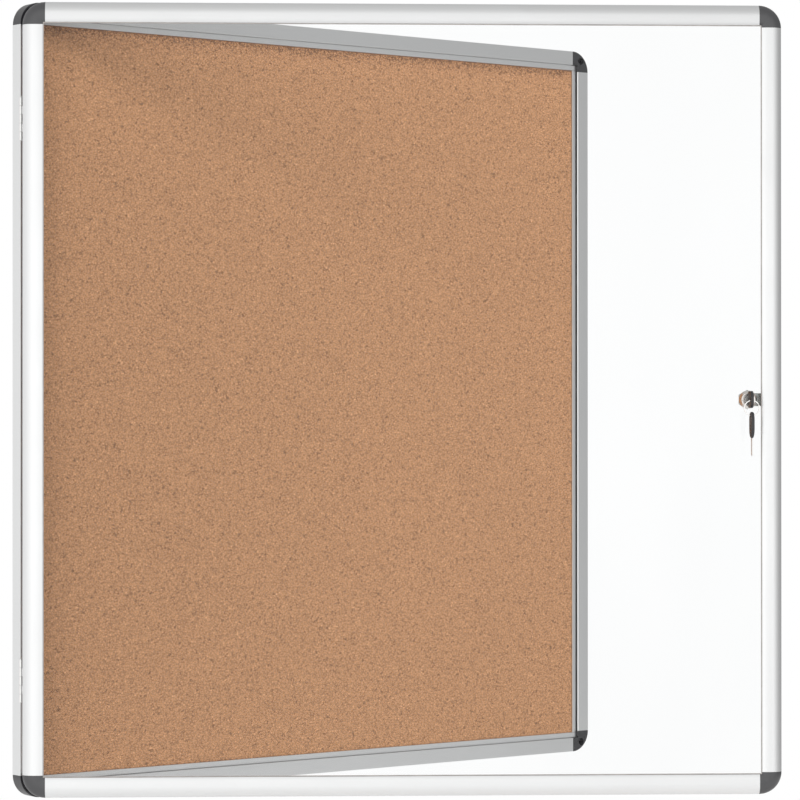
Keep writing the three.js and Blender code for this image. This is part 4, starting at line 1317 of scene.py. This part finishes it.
# %% Key places
BLADE_LENGTH, TANG_LENGTH, BLADE_TIP = 22, 12, 3
BLADE_HALF, BLADE_SIDE, GROOVE_SIDE = 3.8, 0.65, 0.4
RIGHT_GROOVE, LEFT_GROOVE = (-0.8, -0.5, 0.6, 0.9), (-0.9, -1.2, -2.0, -2.3)
CUTS, CUT_PITCH, CUT_DEPTH, CUT_KEEP = 4, 3.6, 1.5, 1.2
TIP_THINNING, BOW_ROUNDING = 0.35, 0.9
BOW_LENGTH, BOW_HALF, BOW_THICKNESS = 32.5, 10.5, 3.9
BOW_NECK, BOW_SHOULDER, BOW_TAPER, BOW_NECK_THICKNESS = 5, 9, 3, 1.4
BOW_HOLE, BOW_HOLE_PLACE, BOW_END = 2.6, 26.9, 2
key_shoulder = lock_axis + (HEAD_FACE + SEAM) * door_front
ring_top = np.array(joints["ring_swing"]["pos_m"]) / MM
spare_shoulder = np.array([*ring_top[:2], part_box("spare_key_bow")[1].z / MM - BOW_LENGTH])
KEY_PLACES = {
    "key": spot(key_shoulder, door_right, UP, -door_front),
    "spare_key": spot(spare_shoulder, door_right, -door_front, -UP),
}
print("spare shoulder", np.round(spare_shoulder, 3), "ring top", np.round(ring_top, 3))


# %% Key blades
def blade_shell(key):
    """The grooved section carried along the blade, its upper edge scaled to the cuts.

    Above the groove, z is scaled so that the edge lies on a line through the cuts. In the tip the
    whole section is scaled between the lower and the upper line.
    """
    half, side, floor = BLADE_HALF, BLADE_SIDE, GROOVE_SIDE
    section = softened([
        (-side, -half), (side, -half), *zip((side, floor, floor, side), RIGHT_GROOVE),
        (side, half), (-side, half), *zip((-side, -floor, -floor, -side), LEFT_GROOVE),
    ], 0.12, 2)
    tip = BLADE_LENGTH - BLADE_TIP
    corners = tip - CUT_PITCH / 2 * np.arange(2 * CUTS, -1, -1)
    edge = np.where(np.arange(2 * CUTS + 1) % 2 == 0, half, half - CUT_DEPTH)
    upper_at, upper = [-TANG_LENGTH, *corners, BLADE_LENGTH], [half, *edge, 0.0]
    lower_at, lower = [-TANG_LENGTH, tip, BLADE_LENGTH], [-half, -half, BLADE_TIP - half]

    def place(x, z, y):
        """Scales z as told above, then places the point."""
        high, low = np.interp(y, upper_at, upper), np.interp(y, lower_at, lower)
        cut = CUT_KEEP + (z - CUT_KEEP) * (high - CUT_KEEP) / (half - CUT_KEEP)
        pointed = low + (z + half) / (2 * half) * (high - low)
        thin = 1 - TIP_THINNING * np.clip((y - tip - 1) / (BLADE_TIP - 1), 0, 1)
        return KEY_PLACES[key](x * thin, np.where(y > tip, pointed, np.where(z > CUT_KEEP, cut, z)), y)

    line = np.array([-TANG_LENGTH, 0, *corners, tip + 1, tip + 2, BLADE_LENGTH])
    return carried([section], place, line)


# %% Key bows
def bow_shell(key):
    """Neck, shoulders and a half circle, carried through the thickness and thinned at the neck."""
    round_at = BOW_LENGTH - BOW_HALF
    rim = softened([(SEAM, BOW_NECK), (SEAM, -BOW_NECK), (BOW_SHOULDER, -BOW_HALF), (round_at, -BOW_HALF),
                    (round_at, BOW_HALF), (BOW_SHOULDER, BOW_HALF)], [2, 2, 4.5, 0, 0, 4.5], 6)
    split = int(np.argmax((np.abs(rim[:, 0] - round_at) < 1e-6) & (rim[:, 1] > 0)))
    turn = arc((round_at, 0), (BOW_HALF, BOW_HALF), -90, 90, 32)[1:-1]
    outlines = [np.vstack([rim[:split], turn, rim[split:]]), circle((BOW_HOLE_PLACE, 0), BOW_HOLE, 32)]
    neck = BOW_NECK_THICKNESS / BOW_THICKNESS

    def place(u, z, x):
        """Thickness times a share: rising straight from the neck, falling as an arc at the end."""
        rise = np.clip(neck + (1 - neck) * (u - SEAM) / BOW_TAPER, 0, 1)
        last = np.clip((u - BOW_LENGTH + BOW_END) / BOW_END, 0, 1)
        return KEY_PLACES[key](x * rise * (0.5 + 0.5 * np.sqrt(1 - last * last)), z, -u)

    return carried(outlines, place, *stations(-BOW_THICKNESS / 2, BOW_THICKNESS / 2, 4, BOW_ROUNDING))


for key in KEY_PLACES:
    add_piece(key + "_blade", [blade_shell(key)], KEY_STEEL, key)
    add_piece(key + "_bow", [bow_shell(key)], BLACK_PLASTIC, key)

# %% [markdown]
# A split ring is two flat turns of spring wire, side by side, that cross over once. The wire's
# section is carried along an angle that runs through two full turns.

# %% Key ring
RING_RADIUS = 9.2
WIRE_HALF, TURN_HALF, TURN_GAP = 0.7, 0.37, 0.03
RING_START, CROSSING, RING_STATIONS = 0.4, 0.7, 193


def ring_coil():
    """Across the ring, the wire steps from one side to the other in the crossing.

    The side offset is a smooth step from minus to plus a turn's half width around one full turn.
    """
    centre = spot(ring_top - RING_RADIUS * UP, door_right, UP, door_front)

    def place(radial, side, angle):
        """Radius plus u in the ring's plane, v and the offset across it."""
        step = np.clip((angle - RING_START - 2 * np.pi) / CROSSING + 0.5, 0, 1)
        offset = (TURN_HALF + TURN_GAP) * (2 * step * step * (3 - 2 * step) - 1)
        radius = RING_RADIUS + radial
        return centre(radius * np.cos(angle), radius * np.sin(angle), side + offset)

    line = np.linspace(RING_START, RING_START + 4 * np.pi, RING_STATIONS)
    return carried([box_outline((WIRE_HALF, TURN_HALF), 0.25)], place, line)


add_piece("key_ring", [ring_coil()], WIRE, "ring")

# %% [markdown]
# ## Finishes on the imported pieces
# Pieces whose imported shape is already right, such as flat sheets, keep it and only get a finish.
# The pane doesn't block the lamps, because clear acrylic throws almost no shadow.

# %% Kept pieces
KEPT = {"cork_sheet": CORK, "softboard_core": SOFTBOARD, "back_sheet": HARDBOARD, "glazing_pane": PANE}

for node, material in KEPT.items():
    mesh = bpy.data.objects[node].data
    for slot in range(len(mesh.materials)):
        mesh.materials[slot] = material
bpy.data.objects["glazing_pane"].visible_shadow = False
print("kept", sorted(KEPT))

# %% [markdown]
# ## Measure and finish
# The looks must not change the object's size, so the imported box from the start is printed.

# %% Sizes
print("cad", [[round(value, 4) for value in corner] for corner in cad_box])
